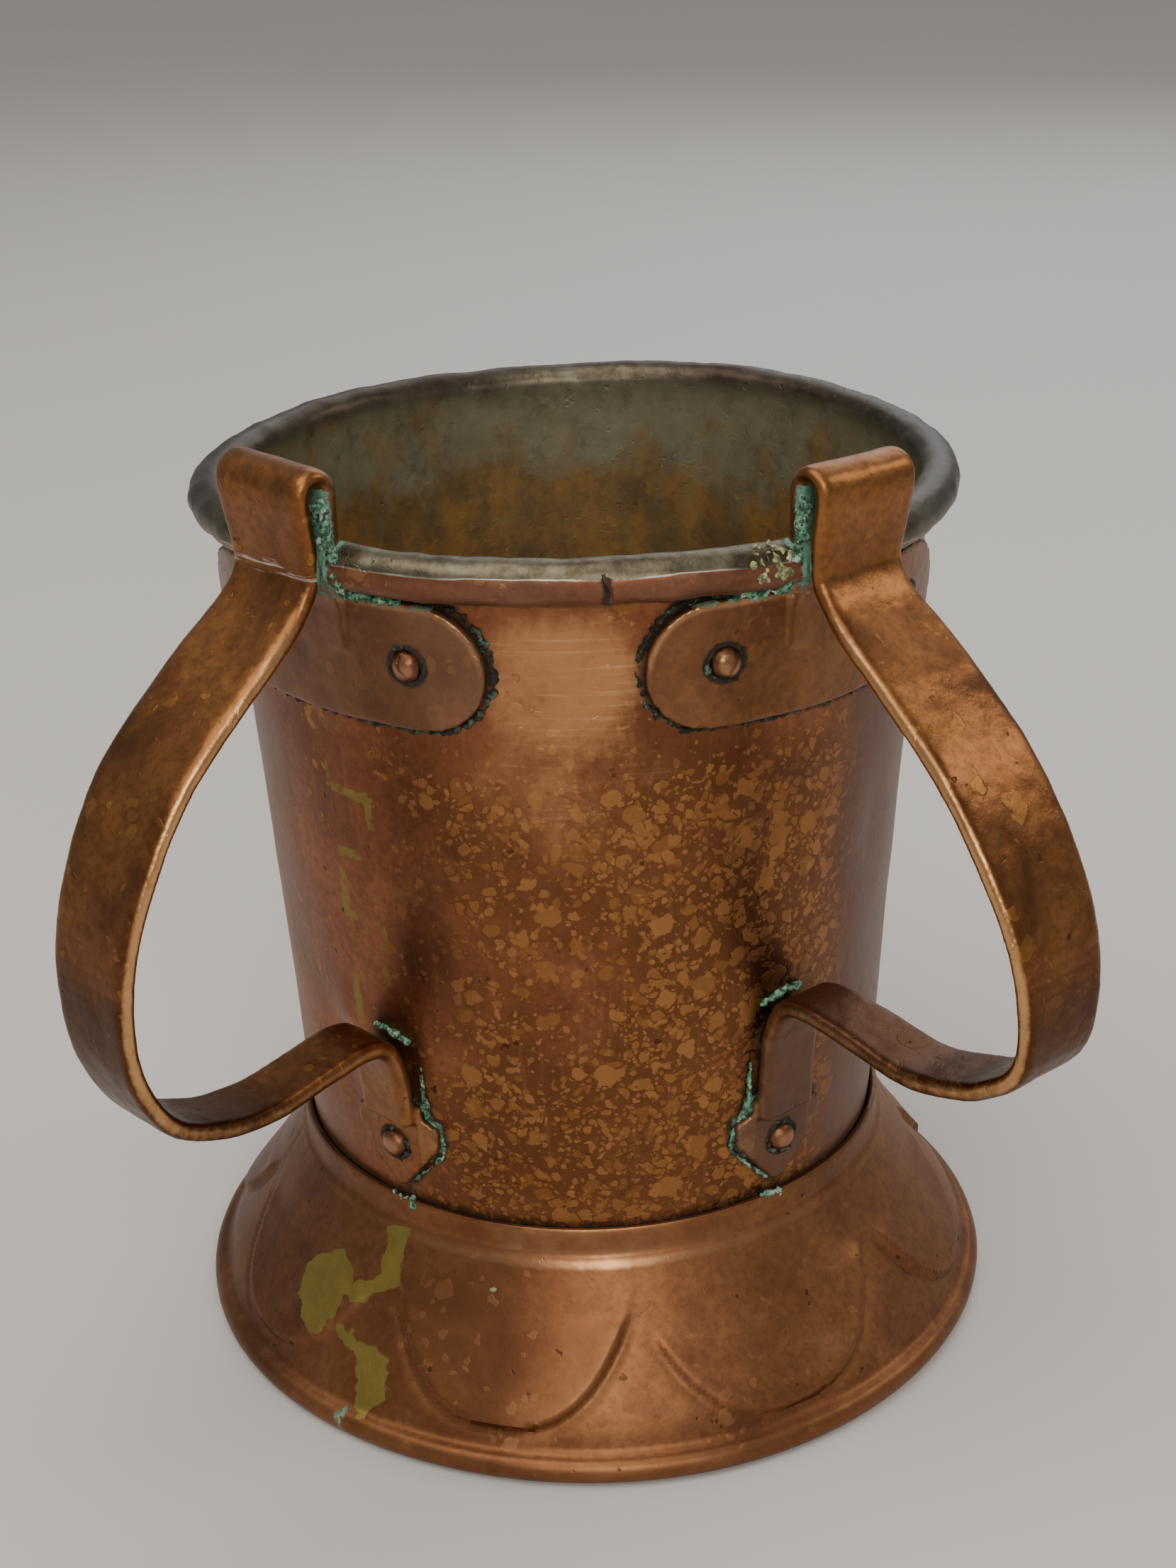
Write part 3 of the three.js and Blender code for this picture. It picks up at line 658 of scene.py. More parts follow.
# the strap, drawn out step by step from a thin slab; built in the plane x = radius, y = sideways, z = up
def drawStrap(name, ear):
    path = strapPath(ear)
    shape = strapShape(path, ear)
    clearSelection()
    bpy.ops.mesh.primitive_grid_add(x_subdivisions=2, y_subdivisions=14, size=2 * mm, location=(0, 0, 0))
    obj = bpy.context.object
    obj.name = obj.data.name = name
    half, wide = strap["thick"] / 2, shape[0][0] / 2
    for v in obj.data.vertices:  # edges worn round
        v.co.y = math.sin(v.co.y / mm * math.pi / 2) * wide * mm
        t = max(0, abs(v.co.y) / mm - (wide - half * 1.15)) / (half * 1.15)
        v.co.x *= shape[0][3] * half * (math.sqrt(max(0, 1 - t * t)) * 0.9 + 0.1)
    bpy.ops.object.mode_set(mode="EDIT")
    bpy.ops.mesh.select_all(action="SELECT")
    bpy.ops.transform.translate(value=(path[0][0] * mm, 0, path[0][1] * mm))
    bpy.ops.transform.rotate(value=turnSign * shape[0][2], orient_axis="Y",
                             center_override=(path[0][0] * mm, 0, path[0][1] * mm))
    for i in range(1, len(path)):
        (r0, z0), (r1, z1) = path[i - 1], path[i]
        shift = ((r1 - r0) * mm, (shape[i][1] - shape[i - 1][1]) * mm, (z1 - z0) * mm)
        bpy.ops.mesh.extrude_region_move(TRANSFORM_OT_translate={"value": shift})
        middle = (r1 * mm, shape[i][1] * mm, z1 * mm)
        bend = (shape[i][2] - shape[i - 1][2] + math.pi) % (2 * math.pi) - math.pi
        bpy.ops.transform.rotate(value=turnSign * bend, orient_axis="Y", center_override=middle)
        grow = shape[i][3] / shape[i - 1][3]  # only while the leg still stands upright
        bpy.ops.transform.resize(value=(grow, shape[i][0] / shape[i - 1][0], 1), center_override=middle)
    bpy.ops.mesh.select_all(action="SELECT")
    bpy.ops.mesh.normals_make_consistent(inside=False)
    bpy.ops.object.mode_set(mode="OBJECT")
    return obj, path, shape


# one test turn tells which way the rotate operator goes here
clearSelection()
bpy.ops.mesh.primitive_plane_add(size=2, location=(0, 0, 0))
probe = bpy.context.object
bpy.ops.object.mode_set(mode="EDIT")
bpy.ops.mesh.select_all(action="SELECT")
bpy.ops.transform.rotate(value=0.3, orient_axis="Y", center_override=(0, 0, 0))
bpy.ops.object.mode_set(mode="OBJECT")
tilted = max(probe.data.vertices, key=lambda v: v.co.x).co.z  # a path leaning outward needs the +X side low
turnSign = 1.0 if tilted < 0 else -1.0
bpy.data.objects.remove(probe)


# flat slab with an outline in (sideways, height), cut into strips, then laid on the wall
def wallSlab(name, outline, thick, azimuth, lift):
    clearSelection()
    bpy.ops.mesh.primitive_circle_add(vertices=len(outline), radius=10 * mm, fill_type="NGON", location=(0, 0, 0))
    obj = bpy.context.object
    obj.name = obj.data.name = name
    for v, (u, z) in zip(obj.data.vertices, outline):
        v.co = Vector((u * mm, z * mm, 0))
    bpy.ops.object.mode_set(mode="EDIT")
    bpy.ops.mesh.select_all(action="SELECT")
    us, zs = [p[0] for p in outline], [p[1] for p in outline]
    for low, high, axis in ((min(us), max(us), 0), (min(zs), max(zs), 1)):
        at = low + 1.0
        while at < high - 0.5:
            bpy.ops.mesh.select_all(action="SELECT")
            bpy.ops.mesh.bisect(plane_co=(at * mm, 0, 0) if axis == 0 else (0, at * mm, 0),
                                plane_no=(1, 0, 0) if axis == 0 else (0, 1, 0))
            at += 1.5
    bpy.ops.mesh.select_all(action="SELECT")
    bpy.ops.mesh.extrude_region_move(TRANSFORM_OT_translate={"value": (0, 0, thick * mm)})
    bpy.ops.mesh.select_all(action="SELECT")
    bpy.ops.mesh.normals_make_consistent(inside=False)
    bpy.ops.object.mode_set(mode="OBJECT")
    co = points(obj) / mm
    r = np.array([wallAt(z) for z in co[:, 1]])
    a = math.radians(azimuth) + co[:, 0] / r
    r = r + lift + co[:, 2]
    setPoints(obj, np.stack([axisX + r * mm * np.sin(a), axisY - r * mm * np.cos(a), co[:, 1] * mm], 1))
    return obj


def stadium(length, tall, middle):
    end = tall / 2
    outline = []
    for cx, start in ((length / 2 - end, -90), (-(length / 2 - end), 90)):
        outline += arc(cx, middle, end, start, start + 180, 12)
    return outline


def lugOutline():
    w, n, shoulder = strap["lugWide"] / 2, strap["leg"] / 2, lugTop - 4.6
    right = [(1.2, lugTip + 0.6), (w - 0.4, shoulder), (w, lugTop - 0.8), (n, lugTop + 0.6), (n, lugTop + 3)]
    return [(-u, z) for u, z in right[::-1]] + [(0, lugTip)] + right


dents = dict(  # azimuth, height, reach and depth of knocks in the plates
    left=((-42.5, 129.5, 2.6, 0.30), (-28.0, 125.0, 5.0, 0.2)),
    right=((12.6, 129.7, 1.3, 0.5), (45.7, 128.3, 2.4, 0.3), (30, 124, 5, 0.2)),
)
handles = {}
for sideName, ear in ears.items():
    side = ear["side"]
    piece, path, shape = drawStrap(sideName + "_strap_handle", ear)
    turnTo = math.radians(side * strap["angle"] - 90)
    piece.data.transform(Matrix.Translation((axisX, axisY, 0)) @ Matrix.Rotation(turnTo, 4, "Z"))
    plate = wallSlab("plate", stadium(strap["plateLong"], strap["plateTall"], plateMiddle), strap["plateThick"],
                     side * strap["angle"], strap["gap"])
    lugAngle = side * (strap["angle"] - math.degrees(ear["lean"] / wallAt(vessel["waist"] + 11)))
    lug = wallSlab("lug", lugOutline(), strap["lugThick"], lugAngle, strap["gap"])
    piece = joined(piece, plate, lug)
    applied(piece, "REMESH", mode="VOXEL", voxel_size=strap["voxel"] * mm)
    applied(piece, "SMOOTH", factor=0.5, iterations=5)
    co, nrm = points(piece), normalsOf(piece)
    push = 0.10 * roughField(co, 6, 1 + side) + 0.05 * roughField(co, 2.2, 4 + side)
    az, r, z = polar(co)
    for a, h, size, depth in dents[sideName]:
        gap = np.hypot((az - a) * 0.98, z - h)
        push -= depth * np.exp(-(gap / size) ** 2) * (r < 60)
    setPoints(piece, co + nrm * (push * mm)[:, None])

    # along and across the strap, for wear on its edges
    co = points(piece)
    local = (Matrix.Rotation(-turnTo, 4, "Z") @ Matrix.Translation((-axisX, -axisY, 0)))
    flat = np.array([local @ Vector(p) for p in co]) / mm
    line = np.array(path)
    nearest = np.empty(len(flat), int)
    for start in range(0, len(flat), 20000):
        part = flat[start:start + 20000]
        nearest[start:start + 20000] = ((part[:, None, 0] - line[None, :, 0]) ** 2
                                        + (part[:, None, 2] - line[None, :, 1]) ** 2).argmin(1)
    wide = np.array([s[0] for s in shape])[nearest]
    lean = np.array([s[1] for s in shape])[nearest]
    across = np.abs(flat[:, 1] - lean) / (wide / 2)
    onStrap = (nearest > 6)
    share = nearest / (len(path) - 1)
    frontEdgeRubAndHighlight = step(0.86, 1.0, -side * (flat[:, 1] - lean) / (wide / 2))  # the edge towards the other handle, rubbed, with a painted highlight along it
    wearAndHighlight = 0.9 * frontEdgeRubAndHighlight * onStrap * step(0.22, 0.32, share) * (1 - 0.5 * step(0.62, 0.8, share))
    wearAndHighlight = np.maximum(wearAndHighlight, 0.35 * step(0.88, 1.0, across) * onStrap)
    marks, fromMiddle = strapMarks[sideName], np.abs(az - side * strap["angle"])
    plateEdge = np.abs(np.hypot(np.maximum(fromMiddle * 0.955 - 20, 0), z - plateMiddle) - 8.9)
    # plate edges rubbed lighter, with a painted highlight making the upper edges brighter than the lower
    litUpperEdge = 0.35 + 0.65 * step(-1, 5, z - plateMiddle + 2)
    wearAndHighlight = np.maximum(wearAndHighlight, 0.7 * litUpperEdge * spread(plateEdge, 0, 0.7) * (r < 57.8) * (z > 115) * (np.abs(az) < 36))
    # a painted highlight across the upper outer curve of the strap, on the right one only
    wearAndHighlight = np.maximum(wearAndHighlight, marks["highlightBand"] * spread(share, 0.46, 0.035) * onStrap)
    paint(piece, "wearAndHighlight", wearAndHighlight)
    strength, height, reach = marks["silver"]
    paint(piece, "silver", strength * spread(z, crease + height, reach) * (r > 60) * (r < 67))
    spotty = marks["spotty"] * step(0.5, 0.62, share) * (1 - step(0.75, 0.85, share))
    paint(piece, "spotty", spotty * onStrap + 0.12)
    plum = marks["plate"] * (z > 115) * (r < 58.5) + marks["lug"] * (z < 66) * (r < 56)
    # painted shade: the lower leg of the right strap duller
    paint(piece, "plum", plum + marks["lowerLeg"] * step(0.7, 0.85, share) * onStrap)
    # painted shade on the lower curve of each strap, kept on the right strap's lower leg
    deep = step(0.53, 0.63, share) * (1 - (1 - marks["keepDeep"]) * step(0.78, 0.86, share)) + 0.06
    paint(piece, "deep", deep * onStrap)
    slotGreen = spread(r, wallTop + 4.2, 1.5) * (z > crease - 3) * (z < vessel["rimTop"] + 8)
    topGreen = 0.5 * spread(z, plateMiddle + 9.2, 1.3) * (r < 58.5) * (fromMiddle < 33)
    endGreen = 0.34 * spread(fromMiddle, 30, 1.4) * (r < 58) * (z > 118)
    lugGreen = 0.42 * spread(np.abs(az - lugAngle), 8.8, 1.2) * (z < 66) * (z > 37)
    paint(piece, "green", np.maximum.reduce([slotGreen, topGreen, endGreen, lugGreen]))
    handRaised(piece)
    handles[sideName] = dict(piece=piece, lugAngle=lugAngle)
    print("  ", sideName, len(piece.data.polygons), "faces")

# ---- rivets: one model for each grip, copied to every place ----
print("rivets")
rivetShape = dict(head=2.4, rise=1.75, shank=1.25, back=1.9, backRise=0.8, steps=28)
grips = dict(lower=strap["lugThick"], front=strap["plateThick"], rear=strap["plateThick"])


def rivetModel(place, z):  # spun upright on the vessel axis, inner end at the bottom
    s = rivetShape
    outside, inside = wallAt(z) + strap["gap"] + grips[place] - 0.1, wallAt(z) - vessel["sheet"]
    outline = [(0, inside - s["backRise"]), (s["back"] * 0.75, inside - s["backRise"] * 0.9), (s["back"], inside - 0.1),
               (s["shank"], inside), (s["shank"], outside)]
    outline += [(s["head"] * math.cos(math.radians(t)), outside + s["rise"] * math.sin(math.radians(t)))
                for t in (0, 14, 28, 42, 56, 68, 80)]
    return spunPiece("rivet_model_" + place, outline + [(0, outside + s["rise"])], s["steps"])


rivets, rivetModels = {}, {}
for nodeName in sorted(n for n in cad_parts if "rivet" in n):
    low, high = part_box(nodeName)
    middle = (low + high) / 2
    azimuth = math.degrees(math.atan2(middle.x - axisX, -(middle.y - axisY)))
    z = middle.z / mm
    place = nodeName.rsplit("_", 1)[1]
    model = (grips[place], round(z, 2))
    if model not in rivetModels:
        rivetModels[model] = rivetModel(place, z)
    makeActive(rivetModels[model])
    bpy.ops.object.duplicate()
    piece = bpy.context.object
    piece.name = piece.data.name = nodeName.replace("_rivet", "_domed_rivet")
    toRadius = Matrix.Rotation(math.radians(azimuth - 90), 4, "Z") @ Matrix.Rotation(math.pi / 2, 4, "Y")
    piece.data.transform(Matrix.Translation(onVessel(0, 0, z)) @ toRadius @ Matrix.Translation((-axisX, -axisY, 0)))
    co, nrm = points(piece), normalsOf(piece)
    setPoints(piece, co + nrm * (0.13 * roughField(co, 1.6, len(rivets)) * mm)[:, None])
    outward = polar(points(piece))[1] - (wallAt(z) + strap["gap"] + grips[place] - 0.1)
    paint(piece, "wearAndHighlight", 0.8 * step(0.9, 1.6, outward))
    # grime and painted shade round the foot of the head
    paint(piece, "grimeAndShade", 1 - step(0, 0.5, outward))
    handRaised(piece)
    smooth(piece, 60)
    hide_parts(nodeName)
    dress(piece, rivetCopper)
    rivets[nodeName] = (azimuth, z)
for model in rivetModels.values():
    bpy.data.objects.remove(model)

for sideName, made in handles.items():
    piece = made["piece"]
    az, r, z = polar(points(piece))
    # grime and painted shade in rings round the rivet heads and where the plates and lug meet the wall
    grimeAndShade = np.zeros(len(az))
    for nodeName, (a, h) in rivets.items():
        if nodeName.startswith(sideName):
            gap = np.hypot((az - a) * 0.96, z - h)
            grimeAndShade = np.maximum(grimeAndShade, np.exp(-((gap - 2.6) / 0.9) ** 2) * (r < 60))
    tree = BVHTree.FromObject(piece, bpy.context.evaluated_depsgraph_get())
    grimeAndShade = np.maximum(grimeAndShade, 0.7 * (1 - step(0.0, 0.9, r - np.array([wallAt(v) for v in z]) - 0.2)) * (r < 58))
    paint(piece, "grimeAndShade", grimeAndShade)
    made["tree"] = tree
    smooth(piece, 75)
    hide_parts(sideName + "_handle")
    dress(piece, strapCopper)

# ---- vessel wall and rolled rim ----
print("vessel wall")
wallMarks = dict(
    curl=-110,  # where the rolled edge ends, in degrees round the bead
    crack=dict(azimuth=5.8, long=2.4, deep=3.4, cuts=((-2.5, 0.30, 1.0), (0.1, -0.25, 0.55))),  # height, tilt, width
    knocks=((-51, 56, 5.0, 0.9), (-46, 66, 3.5, -0.5), (62, 92, 5.0, 0.5), (150, 84, 7.0, 0.6), (-128, 70, 6.0, 0.5)),
)
sheet, curl, crack = vessel["sheet"], wallMarks["curl"], wallMarks["crack"]
bx, bz = beadMiddle
outline = [(wallAt(vessel["wallEnd"]) - sheet, vessel["wallEnd"])]
outline += between(outline[-1], (wallAt(vessel["wallEnd"]), vessel["wallEnd"]), 1)
outline += between(outline[-1], (wallAt(vessel["waist"] + 2), vessel["waist"] + 2), 4)
outline += between(outline[-1], (wallTop, wallTopZ), 68)
outline += arc(bx, bz, vessel["bead"] - sheet, 190, curl, 18)
outline += arc(bx, bz, vessel["bead"], curl, 172, 26)
outline += between(outline[-1], (wallTop - sheet, wallTopZ), 2)
outline += between(outline[-1], outline[0], 44)[:-1]
wall = spunPiece("raised_vessel_wall", outline, vessel["steps"])
for sideName, made in handles.items():  # the bead is cut away where the strap passes
    side = ears[sideName]["side"]
    clearSelection()
    bpy.ops.mesh.primitive_cube_add(size=1, location=(0, 0, 0))
    cutter = bpy.context.object
    cutter.data.transform(Matrix.Diagonal((12 * mm, (strap["wide"] * 0.93) * mm, 14 * mm, 1)))
    cutter.data.transform(Matrix.Translation(((wallTop + 6.1) * mm, 0, (wallTopZ + 6.6) * mm)))
    cutter.data.transform(Matrix.Translation((axisX, axisY, 0))
                          @ Matrix.Rotation(math.radians(side * strap["angle"] - 90), 4, "Z"))
    applied(wall, "BOOLEAN", operation="DIFFERENCE", object=cutter, solver="EXACT")
    bpy.data.objects.remove(cutter)
for height, tilt, wide in crack["cuts"]:  # crack across the front of the bead
    clearSelection()
    bpy.ops.mesh.primitive_cube_add(size=1, location=(0, 0, 0))
    cutter = bpy.context.object
    cutter.data.transform(Matrix.Diagonal((wide * mm, crack["long"] * mm, crack["deep"] * mm, 1)))
    cutter.data.transform(Matrix.Translation(onVessel(crack["azimuth"], bx + vessel["bead"], bz + height))
                          @ Matrix.Rotation(tilt, 4, "Y"))
    applied(wall, "BOOLEAN", operation="DIFFERENCE", object=cutter, solver="EXACT")
    bpy.data.objects.remove(cutter)
co = points(wall)
az, r, z = polar(co)
fromBead = np.hypot(r - bx, z - bz)
onBead = (fromBead < vessel["bead"] + 0.4) & (z > wallTopZ - 0.5)
outerSkin = r > np.array([wallAt(v) for v in z]) - sheet * 0.5
swell = 1 + 0.07 * roughField(co, 5, 11) * onBead + 0.04 * roughField(co, 2, 12) * onBead
a = np.radians(az)
newR, newZ = np.where(onBead, bx + (r - bx) * swell, r), np.where(onBead, bz + (z - bz) * swell, z)
dent = 0.16 * roughField(co, 13, 3) + 0.05 * roughField(co, 5, 5)
for where, height, size, depth in wallMarks["knocks"]:
    off = np.hypot((az - where) * 0.9, (z - height) * 0.7)
    dent = dent - depth * np.exp(-(off / size) ** 2)
newR = newR + np.where(onBead, 0.25 * dent, dent)
setPoints(wall, np.stack([axisX + newR * mm * np.sin(a), axisY - newR * mm * np.cos(a), newZ * mm], 1))
lined = (~outerSkin) & (z < wallTopZ + 1.5)
paint(wall, "inside", np.where((r < bx - 0.6) & ~outerSkin, 1 - step(wallTopZ + 2.5, wallTopZ + 5.0, z), lined))
ripple, around = roughField(co, 9, 21), np.abs(az)
beadAngle = np.degrees(np.arctan2(z - bz, r - bx))  # 0 is the outermost line of the bead, 90 its top
tinLine = 21 - 42 * step(30, 55, around) + 80 * step(105, 150, around) + 7 * ripple
tin = np.where(onBead, step(-9, 9, beadAngle - tinLine) * (beadAngle > -90) + (beadAngle <= -90) * (r < bx), 0)
tin = np.maximum(tin, ((~outerSkin) & (z >= wallTopZ + 1.5)).astype(float))
paint(wall, "tin", tin)
# tarnish and painted shade on the bead's inner half at the back, left light at azimuth 174 as a painted highlight; the
# outer half darker round the sides, with painted shade on the right
farInner = 0.85 * step(60, 100, around) * (1 - 0.9 * np.exp(-((around - 174) / 9) ** 2))
nearOuter = step(42, 75, around) * (0.9 + 0.4 * ripple) + 0.3 * step(10, 70, az) + 0.3 * step(110, 150, around)
paint(wall, "tarnishAndShade", onBead * np.where(r < bx - 1.2, farInner, nearOuter))
# painted shade: a duller film on both sides of the cup, strongest on the right
sideFilmAndShade = 0.25 * step(45, 70, around) + 0.7 * outerSkin * step(40, 62, az) * (az < 150)
paint(wall, "plum", onBead * (0.5 + 0.3 * ripple) * (tin < 0.5) + sideFilmAndShade)
broken = np.clip(0.7 + 1.5 * ripple, 0, 1)
# painted highlight along the tin's edge on the front of the bead
paint(wall, "tinEdgeHighlight", onBead * np.exp(-((beadAngle - tinLine) / 13) ** 2) * broken * (around < 60))
paint(wall, "tinInside", ((r < bx) & ~outerSkin) * (0.72 * step(104, 140, z + 14 * roughField(co, 22, 8))))
crowd = roughField(co, 24, 14)
front = (0.42 + 0.5 * step(-8, 18, az)) * step(-36, -16, az) * (1 - step(44, 62, az)) * (1 - step(106, 122, z))
low = 0.35 * step(-30, -15, az) * (1 - step(30, 50, az)) * (1 - step(56, 72, z))
paint(wall, "spotty", (0.04 + front + low + 0.25 * crowd) * outerSkin)
stains = ((0.7, -25, 12, 82, 21), (0.5, -6, 13, 96, 9), (0.5, 32, 9, 66, 8))  # strength, azimuth, reach, height, reach
# painted shade: the right side and the far left of the cup darker; then stains on the front
deep = np.maximum(step(38, 62, az) * (az < 140), 0.45 * (az < -55))
for strength, where, reach, height, tall in stains:
    deep = np.maximum(deep, strength * spread(az, where, reach) * spread(z, height, tall))
paint(wall, "deep", outerSkin * deep)
# the front below the rim: rubbed bright, with a painted highlight where the front light reflects
frontRubAndHighlight = np.maximum(0.9 * spread(az, -0.5, 12, 4) * spread(z, 126, 12, 4),
                        0.5 * spread(az, -2, 24) * spread(z, 112, 16))
wearAndHighlight = frontRubAndHighlight * (1 + 0.35 * roughField(co, 7, 61)) + 0.45 * spread(az, -44, 9) * spread(z, 62, 10)
paint(wall, "wearAndHighlight", wearAndHighlight * outerSkin + 0.3 * onBead * (beadAngle < -15) * (beadAngle > -80))
# grime and painted shade: next to the handles, along the waist, in the crack and under the bead
grimeAndShade = np.zeros(len(az))
green = np.zeros(len(az))
co = points(wall)
for sideName, made in handles.items():
    close = np.where(outerSkin & ((z > 112) | (z < 75)) & (np.abs(az) < 82))[0]
    away = np.full(len(az), 9.0)
    for i in close:
        hit = made["tree"].find_nearest(Vector(co[i]), 0.006)
        if hit[3] is not None:
            away[i] = hit[3] / mm
    grimeAndShade = np.maximum(grimeAndShade, 1.15 * np.exp(-np.maximum(away - 0.4, 0) / 1.1))
    inward = ears[sideName]["side"] * (ears[sideName]["side"] * strap["angle"] - az)
    green = np.maximum(green, 0.75 * np.exp(-np.maximum(away - 0.5, 0) / 1.3) * step(136, 139, z)
                       * (np.abs(inward) < 34))
    green = np.maximum(green, 0.6 * np.exp(-np.maximum(away - 0.5, 0) / 1.2) * (z < 66) * (z > 42))
grimeAndShade = np.maximum(grimeAndShade, 0.62 * np.exp(-np.abs(z - vessel["waist"]) / 0.6) * outerSkin)
inCrack = (np.hypot(r - bx, z - bz) < 4.5) * (z < bz + 1.2) * (z > wallTopZ)
grimeAndShade = np.maximum(grimeAndShade, 1.3 * spread(az, crack["azimuth"], 0.7) * inCrack)
grimeAndShade = np.maximum(grimeAndShade, 0.75 * np.exp(-np.abs(z - wallTopZ) / 1.0) * outerSkin * (r < wallTop + 1.2))
paint(wall, "grimeAndShade", grimeAndShade)
paint(wall, "green", green)
handRaised(wall)
smooth(wall, 45)
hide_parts("vessel_wall")
dress(wall, sheetCopper)

# ---- vessel floor ----
print("vessel floor")
discShape = dict(steps=120, unevenness=0.22, rings=0.10, ringSpacing=3.1)
discLow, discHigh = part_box("vessel_floor")
discRadius = (discHigh.x - discLow.x) / 2 / mm
discZ, discUnder = discHigh.z / mm, discLow.z / mm
outline = [(0, discUnder)] + between((0, discUnder), (discRadius - 0.6, discUnder), 20)
outline += [(discRadius, discUnder + 0.4), (discRadius, discZ - 0.3), (discRadius - 0.5, discZ)]
outline += between(outline[-1], (0, discZ), 24)
disc = spunPiece("planished_floor_disc", outline, discShape["steps"])
co = points(disc)
az, r, z = polar(co)
waves = discShape["unevenness"] * roughField(co, 14, 6) + discShape["rings"] * np.cos(r / discShape["ringSpacing"])
co[:, 2] += waves * mm * (r < discRadius - 2)
setPoints(disc, co)
paint(disc, "inside", (z > (discZ + discUnder) / 2).astype(float))
paint(disc, "tinInside", np.full(len(r), 0.2))
# grime and painted shade in the corner where the floor meets the wall
paint(disc, "grimeAndShade", step(discRadius - 3, discRadius, r))
smooth(disc, 50)
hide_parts("vessel_floor")
dress(disc, sheetCopper)

# ---- foot: collar, flared skirt with struck scallops, wired edge ----
print("foot")
foot = dict(sheet=1.1, bead=2.2, steps=600, lobeLow=7.0, lobeHigh=20.4, lobeBend=2.6, lobes=(
    # middle, reach and firmness each way
    (-55.5, 20, 17.5, 0.6, 0.45), (-12.2, 19.5, 18.7, 0.6, 1.0), (30.3, 19.5, 22.5, 0.3, 0.95),
    (74.0, 16, 19, 0.8, 0.7), (118.9, 20, 20, 0.8, 0.8), (165.5, 21, 19, 0.7, 0.9), (212.1, 20, 21, 0.9, 0.6),
    (258.7, 20, 20, 0.7, 0.8)))
waist, lobeRise = vessel["waist"], foot["lobeHigh"] - foot["lobeLow"]
collar = wallAt(waist) + 0.3
footBead = (vessel["footRadius"] - foot["bead"], foot["bead"])
skinLow = collar + foot["sheet"]
flare = throughPoints([
    (skinLow + 0.05, waist - 4.4), (skinLow + 0.95, waist - 5.6), (skinLow + 2.3, waist - 8),
    (skinLow + 7.4, waist * 0.5 + 1), (vessel["footRadius"] - 4.7, waist * 0.26),
    (vessel["footRadius"] - 2.7, foot["bead"] * 2.25)], 46)
back = []
for i, p in enumerate(flare):
    a, b = flare[max(i - 1, 0)], flare[min(i + 1, len(flare) - 1)]
    long = math.dist(a, b)
    back.append((p[0] + (b[1] - a[1]) / long * foot["sheet"], p[1] - (b[0] - a[0]) / long * foot["sheet"]))
outline = [(collar, waist - 0.3), (collar + 0.3, waist), (skinLow - 0.25, waist), (skinLow, waist - 0.3)]
outline += between(outline[-1], (skinLow, waist - 3.4), 3)
outline += flare + arc(*footBead, foot["bead"], 84, -200, 22)
outline += arc(*footBead, foot["bead"] - foot["sheet"], -200, 80, 14) + back[::-2]
skirt = spunPiece("scalloped_foot_skirt", outline, foot["steps"])
co, nrm = points(skirt), normalsOf(skirt)
az, r, z = polar(co)
flareLine = np.array([(p[1], p[0]) for p in flare[::-1]])
sideOut = r - np.interp(z, flareLine[:, 0], flareLine[:, 1]) > -foot["sheet"] * 0.6
onFlare = (z < waist - 6) & (z > 4.9)
raised = np.zeros(len(az))
groove = np.zeros(len(az))
for k, (centre, reachLeft, reachRight, firmLeft, firmRight) in enumerate(foot["lobes"]):
    d = (az - centre + 180) % 360 - 180
    reach = np.where(d < 0, reachLeft, reachRight)
    share = np.abs(d) / reach
    firm = firmLeft + (firmRight - firmLeft) * step(-0.5, 0.3, d / reach)
    bend, near = foot["lobeBend"], np.clip(share, 0, 1.1)
    lineZ = foot["lobeLow"] + 0.5 * math.sin(k * 2.1) + lobeRise * near ** bend
    slope = lobeRise * bend * near ** (bend - 1) / reach
    away = (z - lineZ) * 1.2 / np.sqrt(1 + slope ** 2)  # above the line is positive
    top = 1 - step(15.0 + 4 * firm, 19.0 + 4 * firm, z)
    swelling = (0.35 + 0.45 * firm) * step(-0.35, 0.5, away) * np.exp(-np.maximum(away, 0) / 8.0)
    raised = np.maximum(raised, swelling * (share < 1.12) * np.clip(top + 0.15, 0, 1))
    groove = np.maximum(groove, np.exp(-((away + 0.8) / 1.0) ** 2) * (share < 1.12) * top * firm)
push = (1.25 * raised - 0.5 * groove) * onFlare + 0.12 * roughField(co, 12, 31)
skirtPush = np.where(onFlare, push, 0.1 * roughField(co, 12, 31))
outward = np.stack([np.sin(np.radians(az)) * 0.83, -np.cos(np.radians(az)) * 0.83, np.full(len(az), 0.56)], 1)
setPoints(skirt, co + outward * (skirtPush * mm)[:, None])
spelterShapes = [  # outlines of (azimuth, height)
    [(-52.5, 19.9), (-46.8, 23.0), (-42.9, 21.2), (-42.2, 17.0), (-43.3, 13.2), (-46.4, 10.9), (-51.2, 13.4),
     (-53.8, 16.4)],
    [(-38.6, 28.8), (-33.3, 30.3), (-33.6, 27.3), (-33.0, 22.0), (-36.2, 21.2), (-37.9, 25.0)],
    [(-43.5, 18.8), (-36.4, 22.4), (-35.2, 20.9), (-41.1, 16.8)],
    [(-37.6, 13.1), (-33.9, 14.1), (-31.2, 12.0), (-29.5, 7.3), (-31.9, 4.3), (-34.1, 4.8), (-35.7, 9.5)],
    [(-42.8, 13.4), (-38.0, 13.9), (-36.5, 12.2), (-40.2, 11.9)],
]


